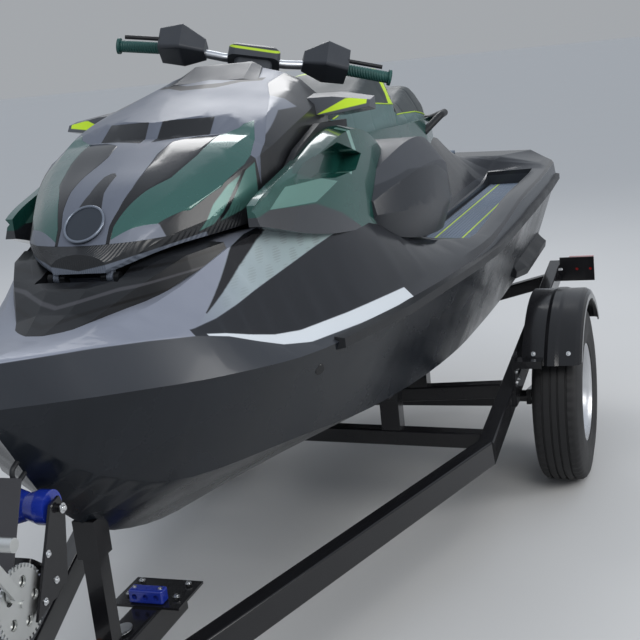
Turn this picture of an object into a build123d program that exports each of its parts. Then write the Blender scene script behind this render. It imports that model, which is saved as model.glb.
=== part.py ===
from build123d import *
import os
from math import atan2, cos, degrees, hypot, pi, radians, sin, sqrt, tan

# A three-seat sport watercraft parked on its single-axle road trailer.
# Units are millimetres. X points to port, Z up from the ground, and stations run aft from the bow tip.
# The finished model is shifted so that its origin lies at the middle of its footprint on the ground.

# Boat: overall sizes
STERN = 3255
PUMP_AXIS_Z = 562
DECK_TOP_Z = 1185
FLOOR_Z = 930

# One table shapes hull and deck, so that they share their bond line.
STATION_COLUMNS = (
    "y", "keel_z", "chine_x", "chine_z", "bond_x", "bond_z", "side_x", "side_z", "ledge_x", "ledge_z",
    "crease_x", "crease_z", "shoulder_x", "shoulder_z", "top_x", "top_z",
)
STATIONS = (
    (0, 948, 8, 962, 18, 990, 15, 1076, 14, 1078, 12, 1080, 10, 1082, 4, 1085),
    (150, 728, 112, 806, 186, 973, 138, 1062, 135, 1064, 128, 1067, 84, 1076, 40, 1080),
    (350, 588, 210, 720, 318, 945, 270, 1030, 267, 1033, 258, 1044, 180, 1100, 110, 1112),
    (645, 503, 315, 692, 430, 915, 400, 930, 376, 958, 331, 1087, 288, 1182, 225, DECK_TOP_Z),
    (1000, 463, 410, 652, 520, 911, 508, 920, 480, 950, 396, 1130, 366, 1158, 290, DECK_TOP_Z),
    (1500, 456, 470, 612, 585, 905, 580, 914, 562, 936, 470, 990, 420, 1012, 262, 1215),
    (1800, 455, 490, 602, 607, 900, 603, 925, 594, 940, 560, 948, 348, 950, 212, 1235),
    (2400, 455, 502, 598, 625, 922, 614, 975, 606, 984, 580, 988, 345, 948, 192, 1200),
    (2650, 455, 502, 599, 623, 923, 613, 975, 605, 984, 580, 988, 345, 949, 190, 1182),
    (2880, 455, 500, 600, 619, 922, 609, 975, 601, 984, 577, 988, 346, 952, 186, 1150),
    (2980, 455, 498, 601, 616, 921, 606, 975, 598, 985, 572, 990, 362, 985, 183, 1098),
    (3060, 455, 496, 602, 612, 920, 602, 975, 594, 986, 568, 1000, 400, 1040, 180, 1050),
    (STERN, 460, 490, 605, 602, 918, 594, 974, 586, 986, 560, 1000, 500, 1035, 180, 1045),
)
LOFT_STATIONS = (
    0, 35, 75, 110, 150, 200, 250, 300, 350, 420, 490, 560, 645, 730, 820, 910, 1000, 1120, 1250, 1380, 1500, 1600,
    1700, 1800, 1950, 2100, 2250, 2400, 2560, 2720, 2880, 2940, 2990, 3030, 3060, STERN,
)

# Hood: a front form and a rear form that meet at a step, its face V-shaped in plan
HOOD_COLUMNS = (
    "y", "hem_x", "hem_z", "band_x", "band_z", "side_x", "side_z", "shoulder_x", "shoulder_z",
    "mid_x", "mid_z", "ridge_x", "ridge_z", "crown_z",
)
HOOD_FRONT = (
    (372, 62, 1162, 66, 1172, 64, 1184, 52, 1193, 36, 1199, 20, 1202, 1204),
    (410, 112, 1176, 118, 1190, 112, 1210, 90, 1224, 60, 1234, 32, 1240, 1242),
    (455, 158, 1190, 164, 1214, 152, 1240, 122, 1262, 88, 1276, 50, 1286, 1290),
    (530, 198, 1196, 206, 1228, 194, 1266, 160, 1298, 116, 1316, 64, 1328, 1331),
    (610, 234, 1198, 244, 1242, 232, 1294, 192, 1328, 138, 1344, 76, 1352, 1355),
    (700, 264, 1200, 276, 1260, 266, 1328, 220, 1362, 158, 1374, 84, 1380, 1382),
    (800, 284, 1202, 302, 1276, 293, 1358, 242, 1390, 174, 1397, 90, 1400, 1402),
    (880, 290, 1204, 308, 1290, 302, 1376, 250, 1404, 178, 1408, 92, 1410, 1412),
)
HOOD_REAR_FORM = (
    (740, 262, 1204, 270, 1262, 262, 1334, 214, 1374, 156, 1398, 96, 1408, 1412),
    (800, 284, 1204, 300, 1276, 290, 1356, 238, 1396, 166, 1420, 100, 1430, 1433),
    (900, 290, 1206, 307, 1300, 300, 1384, 246, 1424, 174, 1442, 104, 1452, 1456),
    (1020, 292, 1212, 311, 1325, 302, 1408, 248, 1448, 176, 1468, 106, 1480, 1484),
    (1140, 288, 1258, 306, 1350, 290, 1428, 236, 1470, 168, 1494, 104, 1506, 1510),
    (1255, 278, 1330, 284, 1384, 264, 1444, 216, 1490, 158, 1516, 100, 1532, 1538),
)
HOOD_WALL = 20
HOOD_REAR = HOOD_REAR_FORM[-1][0]
HOOD_HINGE_Y = 392
HOOD_HINGE_Z = 1150
HINGE_PIN_D = 10
BADGE_Y, BADGE_Z = 425, 1256
BADGE_D, BADGE_T = 90, 8
BADGE_TILT = 46
SCOOP_DEPTH = 17

# Front bin under the hood
BIN_HALF, BIN_FRONT, BIN_REAR, BIN_FLOOR_Z = 150, 620, 980, 950

# Shroud between hood and seat
SHROUD_REAR = 1650
SHROUD_GAP = 6
SIDE_WALL_T = 16

# Steering
BAR_CENTRE_Y, BAR_CENTRE_Z = 1475, 1545
BAR_RAKE = 36
BAR_TURN = 21.6
BAR_HALF = 400
BAR_TUBE_D = 25
GRIP_D, GRIP_L = 34, 125
COLUMN_D, COLUMN_L = 54, 250
COLUMN_CLEARANCE = 0.5
NOZZLE_RATIO = 0.8

# Seat
SEAT_CLEARANCE = 18
SEAT_FRONT, SEAT_SPLIT, SEAT_REAR = SHROUD_REAR + SEAT_CLEARANCE, 2270, 2790
SEAT_GAP = 1.0

# Jet pump
PUMP_FRONT, PUMP_REAR = 2800, 3010
PUMP_BORE, PUMP_WALL = 164, 9
IMPELLER_CLEARANCE = 5
IMPELLER_BLADES = 4
STATOR_VANES = 7
NOZZLE_PIVOT_Y = 3080
NOZZLE_BORE, NOZZLE_WALL, NOZZLE_L = 100, 6, 70
NOZZLE_BACK_R = 76
NOZZLE_PIN_D = 12
TUNNEL_D = 196
RECESS_HALF, RECESS_TOP_Z, RECESS_FRONT = 190, 845, 2930

# Engine
ENGINE_L, ENGINE_W, ENGINE_H = 560, 380, 420
ENGINE_FRONT, ENGINE_Z = 1480, 575
BAY_GAP = 12

# Trailer
COUPLER_FRONT = -1130
TONGUE_W, TONGUE_H, TONGUE_TOP_Z = 76, 76, 357
TONGUE_REAR = 560
RAIL_W, RAIL_H, TUBE_T = 50, 76, 4
RAIL_X = 600
RAIL_BEND_Y, RAIL_REAR = 1480, 3110
RAIL_FRONT_Z, RAIL_BEND_Z, RAIL_REAR_Z = 340, 345, 540
WHEEL_X, WHEEL_Y = 745, 2170
TYRE_OD, TYRE_W, RIM_D = 610, 165, 330
HUB_D, SPINDLE_D, SPINDLE_GAP = 84, 38, 0.4
FENDER_GAP, FENDER_T, FENDER_W = 54, 4, 190
BUNK_X, BUNK_W, BUNK_H = 290, 90, 38
BUNK_FRONT, BUNK_REAR = 1400, 3050
POST_Y = -120
ROLLER_D, ROLLER_L, ROLLER_PIN_D = 70, 100, 16
ROLLER_CONTACT_Y, ROLLER_GAP = 100, 3
JACK_Y, JACK_TUBE_D, JACK_X = -700, 57, 112
GEAR_TEETH, GEAR_D = 40, 150

MID_STATION = (COUPLER_FRONT + STERN) / 2

os.makedirs("parts", exist_ok=True)


def save(name, *solids):
    """Write one node, shifted to the ground origin."""
    shape = solids[0] if len(solids) == 1 else Compound(children=list(solids))
    export_step(Pos(0, -MID_STATION, 0) * shape, f"parts/{name}.step")


def both(solid):
    """A port solid with its starboard twin."""
    return [solid, mirror(solid, about=Plane.YZ)]


def ring(y, half):
    """A closed wire across the boat at station y from half-section points (x, z), lowest first."""
    points = [Vector(x, y, z) for x, z in half]
    points += [Vector(-x, y, z) for x, z in reversed(half) if x > 0]
    return Wire.make_polygon(points, close=True)


def skin(rings, smooth=False):
    """A solid through rings of equal point count, in straight runs or faired from end to end."""
    return Solid.make_loft(rings, ruled=not smooth)


def row(columns, values):
    return dict(zip(columns, values))


def cut(body, *tools):
    for tool in tools:
        body = body - tool
    return body


def biggest(shape):
    return max(shape.solids(), key=lambda s: s.volume)


def block(x0, x1, y0, y1, z0, z1):
    """A box between two corners."""
    return Pos((x0 + x1) / 2, (y0 + y1) / 2, (z0 + z1) / 2) * Box(x1 - x0, y1 - y0, z1 - z0)


def rod(start, end, diameter):
    """A round bar between two points."""
    start, end = Vector(*start), Vector(*end)
    plane = Plane(origin=start, z_dir=end - start)
    return extrude(plane * Circle(diameter / 2), (end - start).length)


def beam(start, end, width, height, wall=0):
    """A square-cut box section between two points, its width level, hollow where a wall is given."""
    start, end = Vector(*start), Vector(*end)
    along = end - start
    level = Vector(0, 0, 1).cross(along)
    plane = Plane(origin=start, x_dir=level, z_dir=along)
    profile = RectangleRounded(width, height, min(width, height) * 0.12)
    if wall:
        profile -= Rectangle(width - 2 * wall, height - 2 * wall)
    return extrude(plane * profile, along.length)


def grade(low, high, k):
    """Slope of one column from one row to the next."""
    return (high[k] - low[k]) / (high[0] - low[0])


def fair_grade(table, i, k):
    """Slope of one column at row i, level where the column turns back."""
    if i in (0, len(table) - 1):
        return grade(table[min(i, len(table) - 2)], table[min(i, len(table) - 2) + 1], k)
    before, after = grade(table[i - 1], table[i], k), grade(table[i], table[i + 1], k)
    return 2 * before * after / (before + after) if before * after > 0 else 0


def between(columns, table, y):
    """A table's values at any station, on curves that stay within its rows, and its end rows beyond them."""
    y = min(max(y, table[0][0]), table[-1][0])
    i = max(n for n in range(len(table) - 1) if table[n][0] <= y)
    low, high = table[i], table[i + 1]
    span = high[0] - low[0]
    t = (y - low[0]) / span
    rise = t * t * (3 - 2 * t)
    values = [
        a + (b - a) * rise + span * t * (1 - t) * (
            (1 - t) * fair_grade(table, i, k) - t * fair_grade(table, i + 1, k))
        for k, (a, b) in enumerate(zip(low, high))]
    return row(columns, [y] + values[1:])


# Hull and deck
hull_rings, deck_rings = [], []
for y in LOFT_STATIONS:
    s = between(STATION_COLUMNS, STATIONS, y)
    bond = (s["bond_x"], s["bond_z"])
    hull_rings.append(ring(s["y"], [(0, s["keel_z"]), (s["chine_x"], s["chine_z"]), bond]))
    edges = [(s[f"{name}_x"], s[f"{name}_z"]) for name in ("side", "ledge", "crease", "shoulder", "top")]
    deck_rings.append(ring(s["y"], [bond] + edges))
hull_block = skin(hull_rings)
deck_block = skin(deck_rings)

engine_rear = ENGINE_FRONT + ENGINE_L
bay = block(
    -ENGINE_W / 2 - BAY_GAP, ENGINE_W / 2 + BAY_GAP,
    ENGINE_FRONT - BAY_GAP, engine_rear + BAY_GAP,
    ENGINE_Z, ENGINE_Z + ENGINE_H + BAY_GAP,
)
tunnel = rod((0, 2380, PUMP_AXIS_Z), (0, RECESS_FRONT + 5, PUMP_AXIS_Z), TUNNEL_D)
intake = block(-TUNNEL_D / 2, TUNNEL_D / 2, 2380, RECESS_FRONT + 5, 400, PUMP_AXIS_Z)
recess = block(-RECESS_HALF, RECESS_HALF, RECESS_FRONT, STERN + 50, 400, RECESS_TOP_Z)
hull = cut(hull_block, bay, tunnel, intake, recess)

wells = []
for side in (1, -1):
    inner, outer = sorted((side * 362, side * 545))
    wells.append(block(inner, outer, 1700, 2980, FLOOR_Z, 1200))
bin_space = block(-BIN_HALF, BIN_HALF, BIN_FRONT, BIN_REAR, BIN_FLOOR_Z, 1300)
deck = cut(deck_block, bay, bin_space, *wells)
save("hull", biggest(hull))
save("deck", biggest(deck))
save("engine_block", block(
    -ENGINE_W / 2, ENGINE_W / 2, ENGINE_FRONT, engine_rear, ENGINE_Z, ENGINE_Z + ENGINE_H))

# Rub rail along the bond line, from the flank aft
rail_rings = []
for y in (700, 1000, 1500, 1800, 2400, 2900, STERN):
    s = between(STATION_COLUMNS, STATIONS, y)
    x, z = s["bond_x"], s["bond_z"]
    points = [(x - 12, z - 20), (x + 14, z - 14), (x + 14, z + 8), (x - 12, z + 12)]
    rail_rings.append(Wire.make_polygon([Vector(px, y, pz) for px, pz in points], close=True))
rub = skin(rail_rings) - hull_block - deck_block
save("rub_rails", *both(biggest(rub)))

# Mats on the foot wells and on the rear platform, the last one cut out round the anchors
ANCHOR_D, ANCHOR_BORE_D, ANCHOR_DEPTH = 46, 20, 12
ANCHOR_TOP_Z = 1072
ANCHOR_PLACES = [(x, y) for y in (3145, 3220) for x in (70, -70)]
well_mat = block(372, 535, 1720, 2970, FLOOR_Z, FLOOR_Z + 5)
rear_mat = block(-172, 172, 3082, STERN - 8, 1030, 1056) - deck_block
for x, y in ANCHOR_PLACES:
    rear_mat = rear_mat - rod((x, y, 1000), (x, y, 1100), ANCHOR_D + 1)
save("deck_mats", *both(well_mat), biggest(rear_mat))

# Hood: one outer form, hollow below, parted into its panels
def hood_rings(table, inset=0):
    """Rings of a hood form, or of the hollow under it."""
    rings = []
    for values in table:
        h = row(HOOD_COLUMNS, values)
        edge = [(h[name + "_x"] - inset, h[name + "_z"] - inset) for name in ("band", "side", "shoulder", "mid", "ridge")]
        edge = [(h["hem_x"] - inset, h["hem_z"] - inset * 1.5)] + edge + [(0, h["crown_z"] - inset)]
        rings.append(ring(h["y"], edge))
    return rings


def plan_zone(points, low=1100, high=1700):
    """A column over a plan outline (x, y)."""
    return extrude(make_face(Polyline(*[(x, y, low) for x, y in points], close=True)), high - low, dir=(0, 0, 1))


def mirrored(points):
    """A half outline (x, y) joined to its mirror image."""
    return points + [(-x, y) for x, y in reversed(points) if x > 0]


# The step: its foot and its brow in plan, the face between them leaning aft
STEP_FOOT = [(0, 759), (156, 772), (340, 800)]
STEP_BROW = [(0, 838), (156, 905), (340, 960)]
STEP_FOOT_Z, STEP_BROW_Z = 1382, 1470
step_rings = []
for outline, z in ((STEP_FOOT, 1100), (STEP_FOOT, STEP_FOOT_Z), (STEP_BROW, STEP_BROW_Z)):
    points = mirrored(list(reversed(outline)))
    corners = [(outline[-1][0], 300)] + points + [(-outline[-1][0], 300)]
    step_rings.append(Wire.make_polygon([Vector(x, y, z) for x, y in corners], close=True))
ahead_of_step = skin(step_rings)
hood_form = (skin(hood_rings(HOOD_FRONT), smooth=True) & ahead_of_step) + (
    skin(hood_rings(HOOD_REAR_FORM), smooth=True) - ahead_of_step)
hollow = skin(hood_rings([v for v in HOOD_FRONT if v[0] >= 455][:-1], HOOD_WALL), smooth=True)
hollow = hollow + skin(hood_rings([HOOD_FRONT[-2], HOOD_FRONT[-1]] + [v for v in HOOD_REAR_FORM if 900 <= v[0] <= 1020][1:],
                                  HOOD_WALL))
hood_shell = hood_form - hollow

# Channels sunk beside the spine, from the badge back to the step
CHANNEL_COLUMNS = ("y", "in_x", "in_z", "out_x", "out_z", "depth")
CHANNEL = (
    (424, 58, 1247, 68, 1243, 3),
    (455, 68, 1281, 82, 1276, 9),
    (513, 76, 1318, 108, 1308, 14),
    (574, 74, 1338, 141, 1324, SCOOP_DEPTH),
    (674, 64, 1375, 164, 1362, SCOOP_DEPTH),
    (740, 72, 1391, 170, 1380, 14),
    (778, 122, 1396, 173, 1392, 8),
)
channel_rings = []
for values in CHANNEL:
    c = row(CHANNEL_COLUMNS, values)
    channel_rings.append(Wire.make_polygon([Vector(x, c["y"], z) for x, z in (
        (c["in_x"], c["in_z"] + 40), (c["in_x"] + 4, c["in_z"] - c["depth"] * 0.9),
        (c["out_x"] - 8, c["out_z"] - c["depth"]), (c["out_x"], c["out_z"] + 40))], close=True))
for channel in both(skin(channel_rings)):
    hood_shell = hood_shell - channel

badge_plane = Plane(origin=(0, BADGE_Y, BADGE_Z), x_dir=(1, 0, 0),
                    z_dir=(0, -sin(radians(BADGE_TILT)), cos(radians(BADGE_TILT))))
badge = extrude(badge_plane * Circle(BADGE_D / 2), BADGE_T / 2, both=True)
save("hood_badge", badge)

spine_line = [(c[1], c[0]) for c in CHANNEL]
wing_line = [(c[3], c[0]) for c in CHANNEL]
brow_line = [(174, 792), (211, 818), (234, 861)]
tail_line = [(257, 795), (266, 738)]
flank_line = [(263, 703), (238, 622), (197, 532), (152, 461), (106, 430), (66, 405)]
shell_line = [(284, 738), (276, 811), (243, 929), (212, 1032), (172, 1130), (172, 1300)]
centre_zone = plan_zone(mirrored([(58, 300)] + spine_line + brow_line + tail_line + shell_line))
scoop_zone = plan_zone([(58, 300)] + spine_line + list(reversed(wing_line)) + [(60, 300)])
wing_zone = plan_zone([flank_line[-1]] + wing_line + brow_line + tail_line + flank_line[:-1])
CHIN_TOP = ((300, 1218), (464, 1218), (548, 1224), (600, 1250), (640, 1264))
chin_side = [(y, z) for y, z in CHIN_TOP] + [(660, 1264), (660, 1100), (300, 1100)]
chin_zone = extrude(make_face(Polyline(*[(0, y, z) for y, z in chin_side], close=True)), 400, both=True, dir=(1, 0, 0))

upper = cut(hood_shell, chin_zone, badge)
chin = biggest(cut(hood_shell & chin_zone, badge))
centre = biggest(upper & centre_zone)
flanks = cut(upper, centre_zone)
scoops, wings, sides = [], [], []
for hand in (1, -1):
    scoop_column = scoop_zone if hand > 0 else mirror(scoop_zone, about=Plane.YZ)
    wing_column = wing_zone if hand > 0 else mirror(wing_zone, about=Plane.YZ)
    scoops.append(biggest(flanks & scoop_column))
    wings.append(biggest(cut(flanks & wing_column, scoop_column)))
    outside = block(*sorted((0, hand * 400)), 300, 1300, 1100, 1600)
    sides.append(biggest(cut(flanks & outside, scoop_column, wing_column)))
for hand in (1, -1):
    x0, x1 = sorted((hand * 58, hand * 72))
    lug = block(x0, x1, HOOD_HINGE_Y - 8, HOOD_HINGE_Y + 8, HOOD_HINGE_Z, 1186)
    lug = lug + rod((x0, HOOD_HINGE_Y, HOOD_HINGE_Z), (x1, HOOD_HINGE_Y, HOOD_HINGE_Z), 22)
    chin = chin + (lug - rod((x0, HOOD_HINGE_Y, HOOD_HINGE_Z), (x1, HOOD_HINGE_Y, HOOD_HINGE_Z), HINGE_PIN_D + 0.6))
save("hood_chin", biggest(chin))
save("hood_centre", centre)
save("hood_scoops", *scoops)
save("hood_wings", *wings)
save("hood_sides", *sides)

# Visor over the gauge at the rear of the hood
VISOR_REAR = HOOD_REAR + 62
visor_rings = [
    ring(y, [(low_x, low_z), (side_x, side_z), (top_x, top_z)])
    for y, low_x, low_z, side_x, side_z, top_x, top_z in (
        (1140, 150, 1440, 140, 1498, 100, 1508),
        (HOOD_REAR, 122, 1445, 112, 1532, 84, 1548),
        (VISOR_REAR, 104, 1478, 96, 1524, 74, 1536))
]
gauge_face = block(-84, 84, VISOR_REAR - 8, VISOR_REAR + 5, 1490, 1526)
visor = cut(biggest(skin(visor_rings) - hood_form), gauge_face)
save("gauge_pod", biggest(visor))

# Mirrors, fixed to the hood's shoulders
MIRROR_COLUMNS = ("x", "front", "rear", "low", "high")
MIRROR = (
    (150, 1165, 1228, 1408, 1446), (240, 1128, 1232, 1390, 1450), (340, 1122, 1228, 1386, 1448),
    (440, 1128, 1185, 1398, 1432),
)
mirror_rings = []
for values in MIRROR:
    m = row(MIRROR_COLUMNS, values)
    mirror_rings.append(Wire.make_polygon([
        Vector(m["x"], m["front"], m["low"] + 12), Vector(m["x"], m["rear"], m["low"]),
        Vector(m["x"], m["rear"], m["high"]), Vector(m["x"], m["front"] + 14, m["high"] - 6)], close=True))
glass = block(205, 405, 1212, 1260, 1404, 1436)
housing = biggest(skin(mirror_rings) - hood_form)
pane = biggest(housing & glass)
housing = biggest(housing - glass)
save("mirrors", *both(housing))
save("mirror_glass", *both(pane))

# Bow fascia: a V-shaped collar in front of the hood, with the hinge ears in a trough
FASCIA = (
    (170, 50, 1062, 44, 1076, 18, 1080),
    (250, 96, 1066, 88, 1092, 36, 1106),
    (315, 136, 1084, 128, 1122, 48, 1142),
    (380, 178, 1108, 170, 1150, 120, 1154),
    (455, 220, 1136, 212, 1176, 170, 1180),
    (560, 262, 1158, 254, 1182, 220, 1186),
)
fascia = skin([
    ring(y, [(low_x, low_z), (side_x, side_z), (top_x, top_z)])
    for y, low_x, low_z, side_x, side_z, top_x, top_z in FASCIA
])
TROUGH_FLOOR_Z = HOOD_HINGE_Z - 18
fascia = cut(fascia, deck_block, block(-100, 100, HOOD_HINGE_Y - 40, HOOD_HINGE_Y + 53, TROUGH_FLOOR_Z, 1300))
for hand in (1, -1):
    for x in (44, 74):
        x0, x1 = sorted((hand * x, hand * (x + 12)))
        ear = block(x0, x1, HOOD_HINGE_Y - 10, HOOD_HINGE_Y + 10, TROUGH_FLOOR_Z - 6, HOOD_HINGE_Z)
        fascia = fascia + ear + rod((x0, HOOD_HINGE_Y, HOOD_HINGE_Z), (x1, HOOD_HINGE_Y, HOOD_HINGE_Z), 20)
    fascia = fascia + rod((hand * 50, HOOD_HINGE_Y, HOOD_HINGE_Z), (hand * 80, HOOD_HINGE_Y, HOOD_HINGE_Z), HINGE_PIN_D)
save("bow_fascia", biggest(fascia - deck_block))

# Shroud: side walls beside the hood, and the console behind it
wall_rings = []
for y, low, high in ((700, 1180, 1205), (800, 1158, 1290), (880, 1146, 1338), (1040, 1120, 1384), (1262, 1100, 1374)):
    h = between(HOOD_COLUMNS, HOOD_FRONT if y < HOOD_REAR_FORM[1][0] else HOOD_REAR_FORM, min(y, 1020))
    x = h["band_x"] + SHROUD_GAP
    wall_rings.append(Wire.make_polygon([
        Vector(x, y, low), Vector(x + SIDE_WALL_T, y, low),
        Vector(x + SIDE_WALL_T, y, high), Vector(x, y, high)], close=True))
side_wall = biggest(skin(wall_rings) - deck_block)
console = skin([
    ring(y, [(low_x, 1150), (high_x, z - 30), (high_x * 0.7, z)])
    for y, low_x, high_x, z in (
        (HOOD_REAR + SHROUD_GAP, 333, 250, 1440), (1400, 300, 205, 1420), (SHROUD_REAR, 245, 160, 1372))
]) - deck_block
bar_axis = Vector(0, sin(radians(BAR_RAKE)), cos(radians(BAR_RAKE)))
bar_centre = Vector(0, BAR_CENTRE_Y, BAR_CENTRE_Z)
column_foot = bar_centre - bar_axis * COLUMN_L
well_foot = column_foot - bar_axis * 6
column_well = rod(tuple(well_foot), tuple(bar_centre), COLUMN_D + 2 * COLUMN_CLEARANCE)
glove_space = block(-95, 95, 1535, 1640, 1260, 1500)
LID_T, LID_HINGE_Y, LID_REAR_Y, LID_SEAT = 8, 1530, 1645, 0.3
LID_HINGE_D, LID_HINGE_HALF = 10, 90
top_slope = (1372 - 1420) / (SHROUD_REAR - 1400)
lid_z = [1420 + (y - 1400) * top_slope + LID_SEAT for y in (LID_HINGE_Y, LID_REAR_Y)]
LID_HINGE_Z = lid_z[0] + LID_T / 2
hinge_seat = rod((-LID_HINGE_HALF - 1, LID_HINGE_Y, LID_HINGE_Z), (LID_HINGE_HALF + 1, LID_HINGE_Y, LID_HINGE_Z),
                 LID_HINGE_D + 1)
console = cut(biggest(console), column_well, glove_space, hinge_seat)
shroud = console
for wall in both(side_wall):
    shroud = shroud + wall
save("shroud", *shroud.solids())

lid_profile = Polyline(
    (0, LID_HINGE_Y, lid_z[0]), (0, LID_REAR_Y, lid_z[1]), (0, LID_REAR_Y, lid_z[1] + LID_T),
    (0, LID_HINGE_Y, lid_z[0] + LID_T), close=True)
lid = biggest(extrude(make_face(lid_profile), 104, both=True, dir=(1, 0, 0)) - console)
barrel = rod((-LID_HINGE_HALF, LID_HINGE_Y, LID_HINGE_Z), (LID_HINGE_HALF, LID_HINGE_Y, LID_HINGE_Z), LID_HINGE_D)
save("glovebox_lid", biggest(lid + barrel))

# Green scoop fairings on the flanks, each with a sunk pocket in its side
FAIRING_COLUMNS = ("y", "inner_x", "outer_x", "low", "high")
FAIRING = (
    (600, 300, 318, 1205, 1252), (760, 312, 352, 1160, 1296), (930, 325, 384, 1125, 1342),
    (1095, 334, 402, 1108, 1370), (1250, 334, 408, 1098, 1338), (1385, 334, 398, 1110, 1280),
)
POCKET_FLOOR_X = 352
fairing_rings = []
for values in FAIRING:
    f = row(FAIRING_COLUMNS, values)
    inner, outer, low, high = f["inner_x"], f["outer_x"], f["low"], f["high"]
    fairing_rings.append(Wire.make_polygon([
        Vector(inner, f["y"], low), Vector(outer + 10, f["y"], low), Vector(outer, f["y"], low + (high - low) * 0.6),
        Vector(outer - 8, f["y"], high - 12), Vector(inner + 20, f["y"], high), Vector(inner, f["y"], high)],
        close=True))
pocket = make_face(Polyline(
    (0, 740, 1286), (0, 880, 1318), (0, 1003, 1338), (0, 1140, 1292), (0, 1085, 1258), (0, 960, 1256), close=True))
pocket = Pos(POCKET_FLOOR_X, 0, 0) * extrude(pocket, 120, dir=(1, 0, 0))
fairing = skin(fairing_rings, smooth=True) - deck_block
for solid in both(side_wall) + [console]:
    fairing = fairing - solid
fairing = biggest(biggest(fairing) - pocket)
save("side_fairings", *both(fairing))

# Knee pods
POD = (
    (1160, 352, 425, 1095, 1185), (1260, 345, 472, 1050, 1246), (1400, 330, 505, 1020, 1286),
    (1560, 310, 515, 1005, 1284), (1680, 300, 505, 1000, 1246), (1740, 300, 480, 1005, 1206),
)
pod_rings = []
for values in POD:
    f = row(FAIRING_COLUMNS, values)
    inner, outer, low, high = f["inner_x"], f["outer_x"], f["low"], f["high"]
    pod_rings.append(Wire.make_polygon([
        Vector(inner, f["y"], low), Vector(outer - 30, f["y"], low), Vector(outer, f["y"], low + (high - low) * 0.35),
        Vector(outer - 8, f["y"], high - (high - low) * 0.25), Vector(outer - 56, f["y"], high),
        Vector(inner, f["y"], high)], close=True))
knee = skin(pod_rings, smooth=True) - deck_block
knee = biggest(cut(biggest(knee), fairing, console))
save("knee_pods", *both(knee))

# Steering gear, built straight ahead about its own axis and then turned
swing = Plane(origin=bar_centre, x_dir=(1, 0, 0), z_dir=bar_axis).location * Rot(0, 0, BAR_TURN)
tube_path = FilletPolyline(
    (-BAR_HALF + 4, 26, 14), (-210, 4, 14), (-90, 0, 0), (90, 0, 0), (210, 4, 14), (BAR_HALF - 4, 26, 14), radius=40)
tube_start = Plane(origin=tube_path @ 0, z_dir=tube_path % 0)
bar_tube = sweep(tube_start * Circle(BAR_TUBE_D / 2), path=tube_path)
GUARD_L = 132
GUARD = ((0, -4, 54, 44, 8), (62, -22, 108, 82, 10), (GUARD_L - 3, -14, 92, 70, 12))
grips, levers, guards = [], [], []
for hand in (-1, 1):
    end = Vector(hand * (BAR_HALF - 4), 26, 14)
    elbow = Vector(hand * 210, 4, 14)
    out = (end - elbow).normalized()
    inner_end = end - out * GRIP_L
    grip = rod(tuple(inner_end), tuple(end + out * 4), GRIP_D)
    grip = grip + rod(tuple(end - out * 2), tuple(end + out * 6), GRIP_D + 12)
    grips.append(grip - rod(tuple(inner_end - out), tuple(end), BAR_TUBE_D))
    guard_plane = Plane(origin=inner_end - out * GUARD_L, x_dir=Vector(0, 1, 0), z_dir=out)
    guard = loft([
        guard_plane.offset(reach) * (Pos(shift, 0) * RectangleRounded(deep, tall, corner))
        for reach, shift, deep, tall, corner in GUARD], ruled=True)
    guards.append(guard - bar_tube)
    lever_start = inner_end - out * 40 + Vector(0, -50, -2)
    lever_end = end - out * 25 + Vector(0, -70, -14)
    levers.append(rod(tuple(lever_start), tuple(lever_end), 12))
pad = extrude(Plane.XY.offset(-14) * RectangleRounded(150, 96, 24), 46)
pad = chamfer(pad.faces().sort_by(Axis.Z)[-1].edges(), 12)
stem = rod((0, 0, -COLUMN_L), (0, 0, -16), COLUMN_D)
stem = stem + extrude(Plane.XY.offset(-68) * RectangleRounded(110, 70, 18), 54)
save("steering_column", swing * stem)
save("handlebar_pad", swing * (pad - bar_tube))
save("handlebar_tube", swing * bar_tube)
save("hand_grips", *[swing * g for g in grips])
save("hand_controls", *[swing * g for g in guards])
save("hand_levers", *[swing * biggest(v - g) for v, g in zip(levers, guards)])

# Seats: one hard base and two cushions
SEAT_COLUMNS = ("y", "low_x", "mid_x", "top_x", "base_z", "mid_z", "top_z")
SEAT = (
    (SEAT_FRONT, 165, 160, 110, 1255, 1330, 1392),
    (SEAT_FRONT + 132, 205, 180, 130, 1255, 1350, 1416),
    (SEAT_SPLIT - 220, 215, 195, 150, 1245, 1350, 1425),
    (SEAT_SPLIT - 120, 215, 200, 155, 1240, 1350, 1462),
    (SEAT_SPLIT - 15, 215, 200, 155, 1235, 1340, 1472),
    (SEAT_SPLIT + 30, 215, 200, 160, 1232, 1300, 1395),
    (SEAT_REAR - 230, 215, 195, 150, 1226, 1290, 1365),
    (SEAT_REAR, 180, 165, 120, 1214, 1260, 1300),
)


SEAT_STEP = 25


def seat_span(first, last):
    stations = [first] + [v[0] for v in SEAT if first + SEAT_STEP < v[0] < last - SEAT_STEP] + [last]
    rings = []
    for y in stations:
        s = between(SEAT_COLUMNS, SEAT, y)
        rings.append(ring(y, [(s["low_x"] - 12, s["base_z"]), (s["mid_x"], s["mid_z"]), (s["top_x"], s["top_z"])]))
    return skin(rings, smooth=True)


cushions = [seat_span(SEAT_FRONT, SEAT_SPLIT - 8), seat_span(SEAT_SPLIT, SEAT_REAR)]
save("seat_front", cushions[0])
save("seat_rear", cushions[1])
SEAT_BASE_SINK = 30
base_rings = []
for y in [SEAT_FRONT - 8] + [v[0] for v in SEAT[1:-1]] + [SEAT_REAR + 10]:
    s = between(SEAT_COLUMNS, SEAT, y)
    base_rings.append(ring(y, [(s["low_x"] + 12, 1120), (s["low_x"] + 4, s["base_z"] + SEAT_BASE_SINK)]))
lowered = [Pos(0, 0, -SEAT_GAP) * cushion for cushion in cushions]
seat_base = cut(skin(base_rings), deck_block, console, *cushions, *lowered)
seat_base = biggest(seat_base)
save("seat_base", seat_base)

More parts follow.
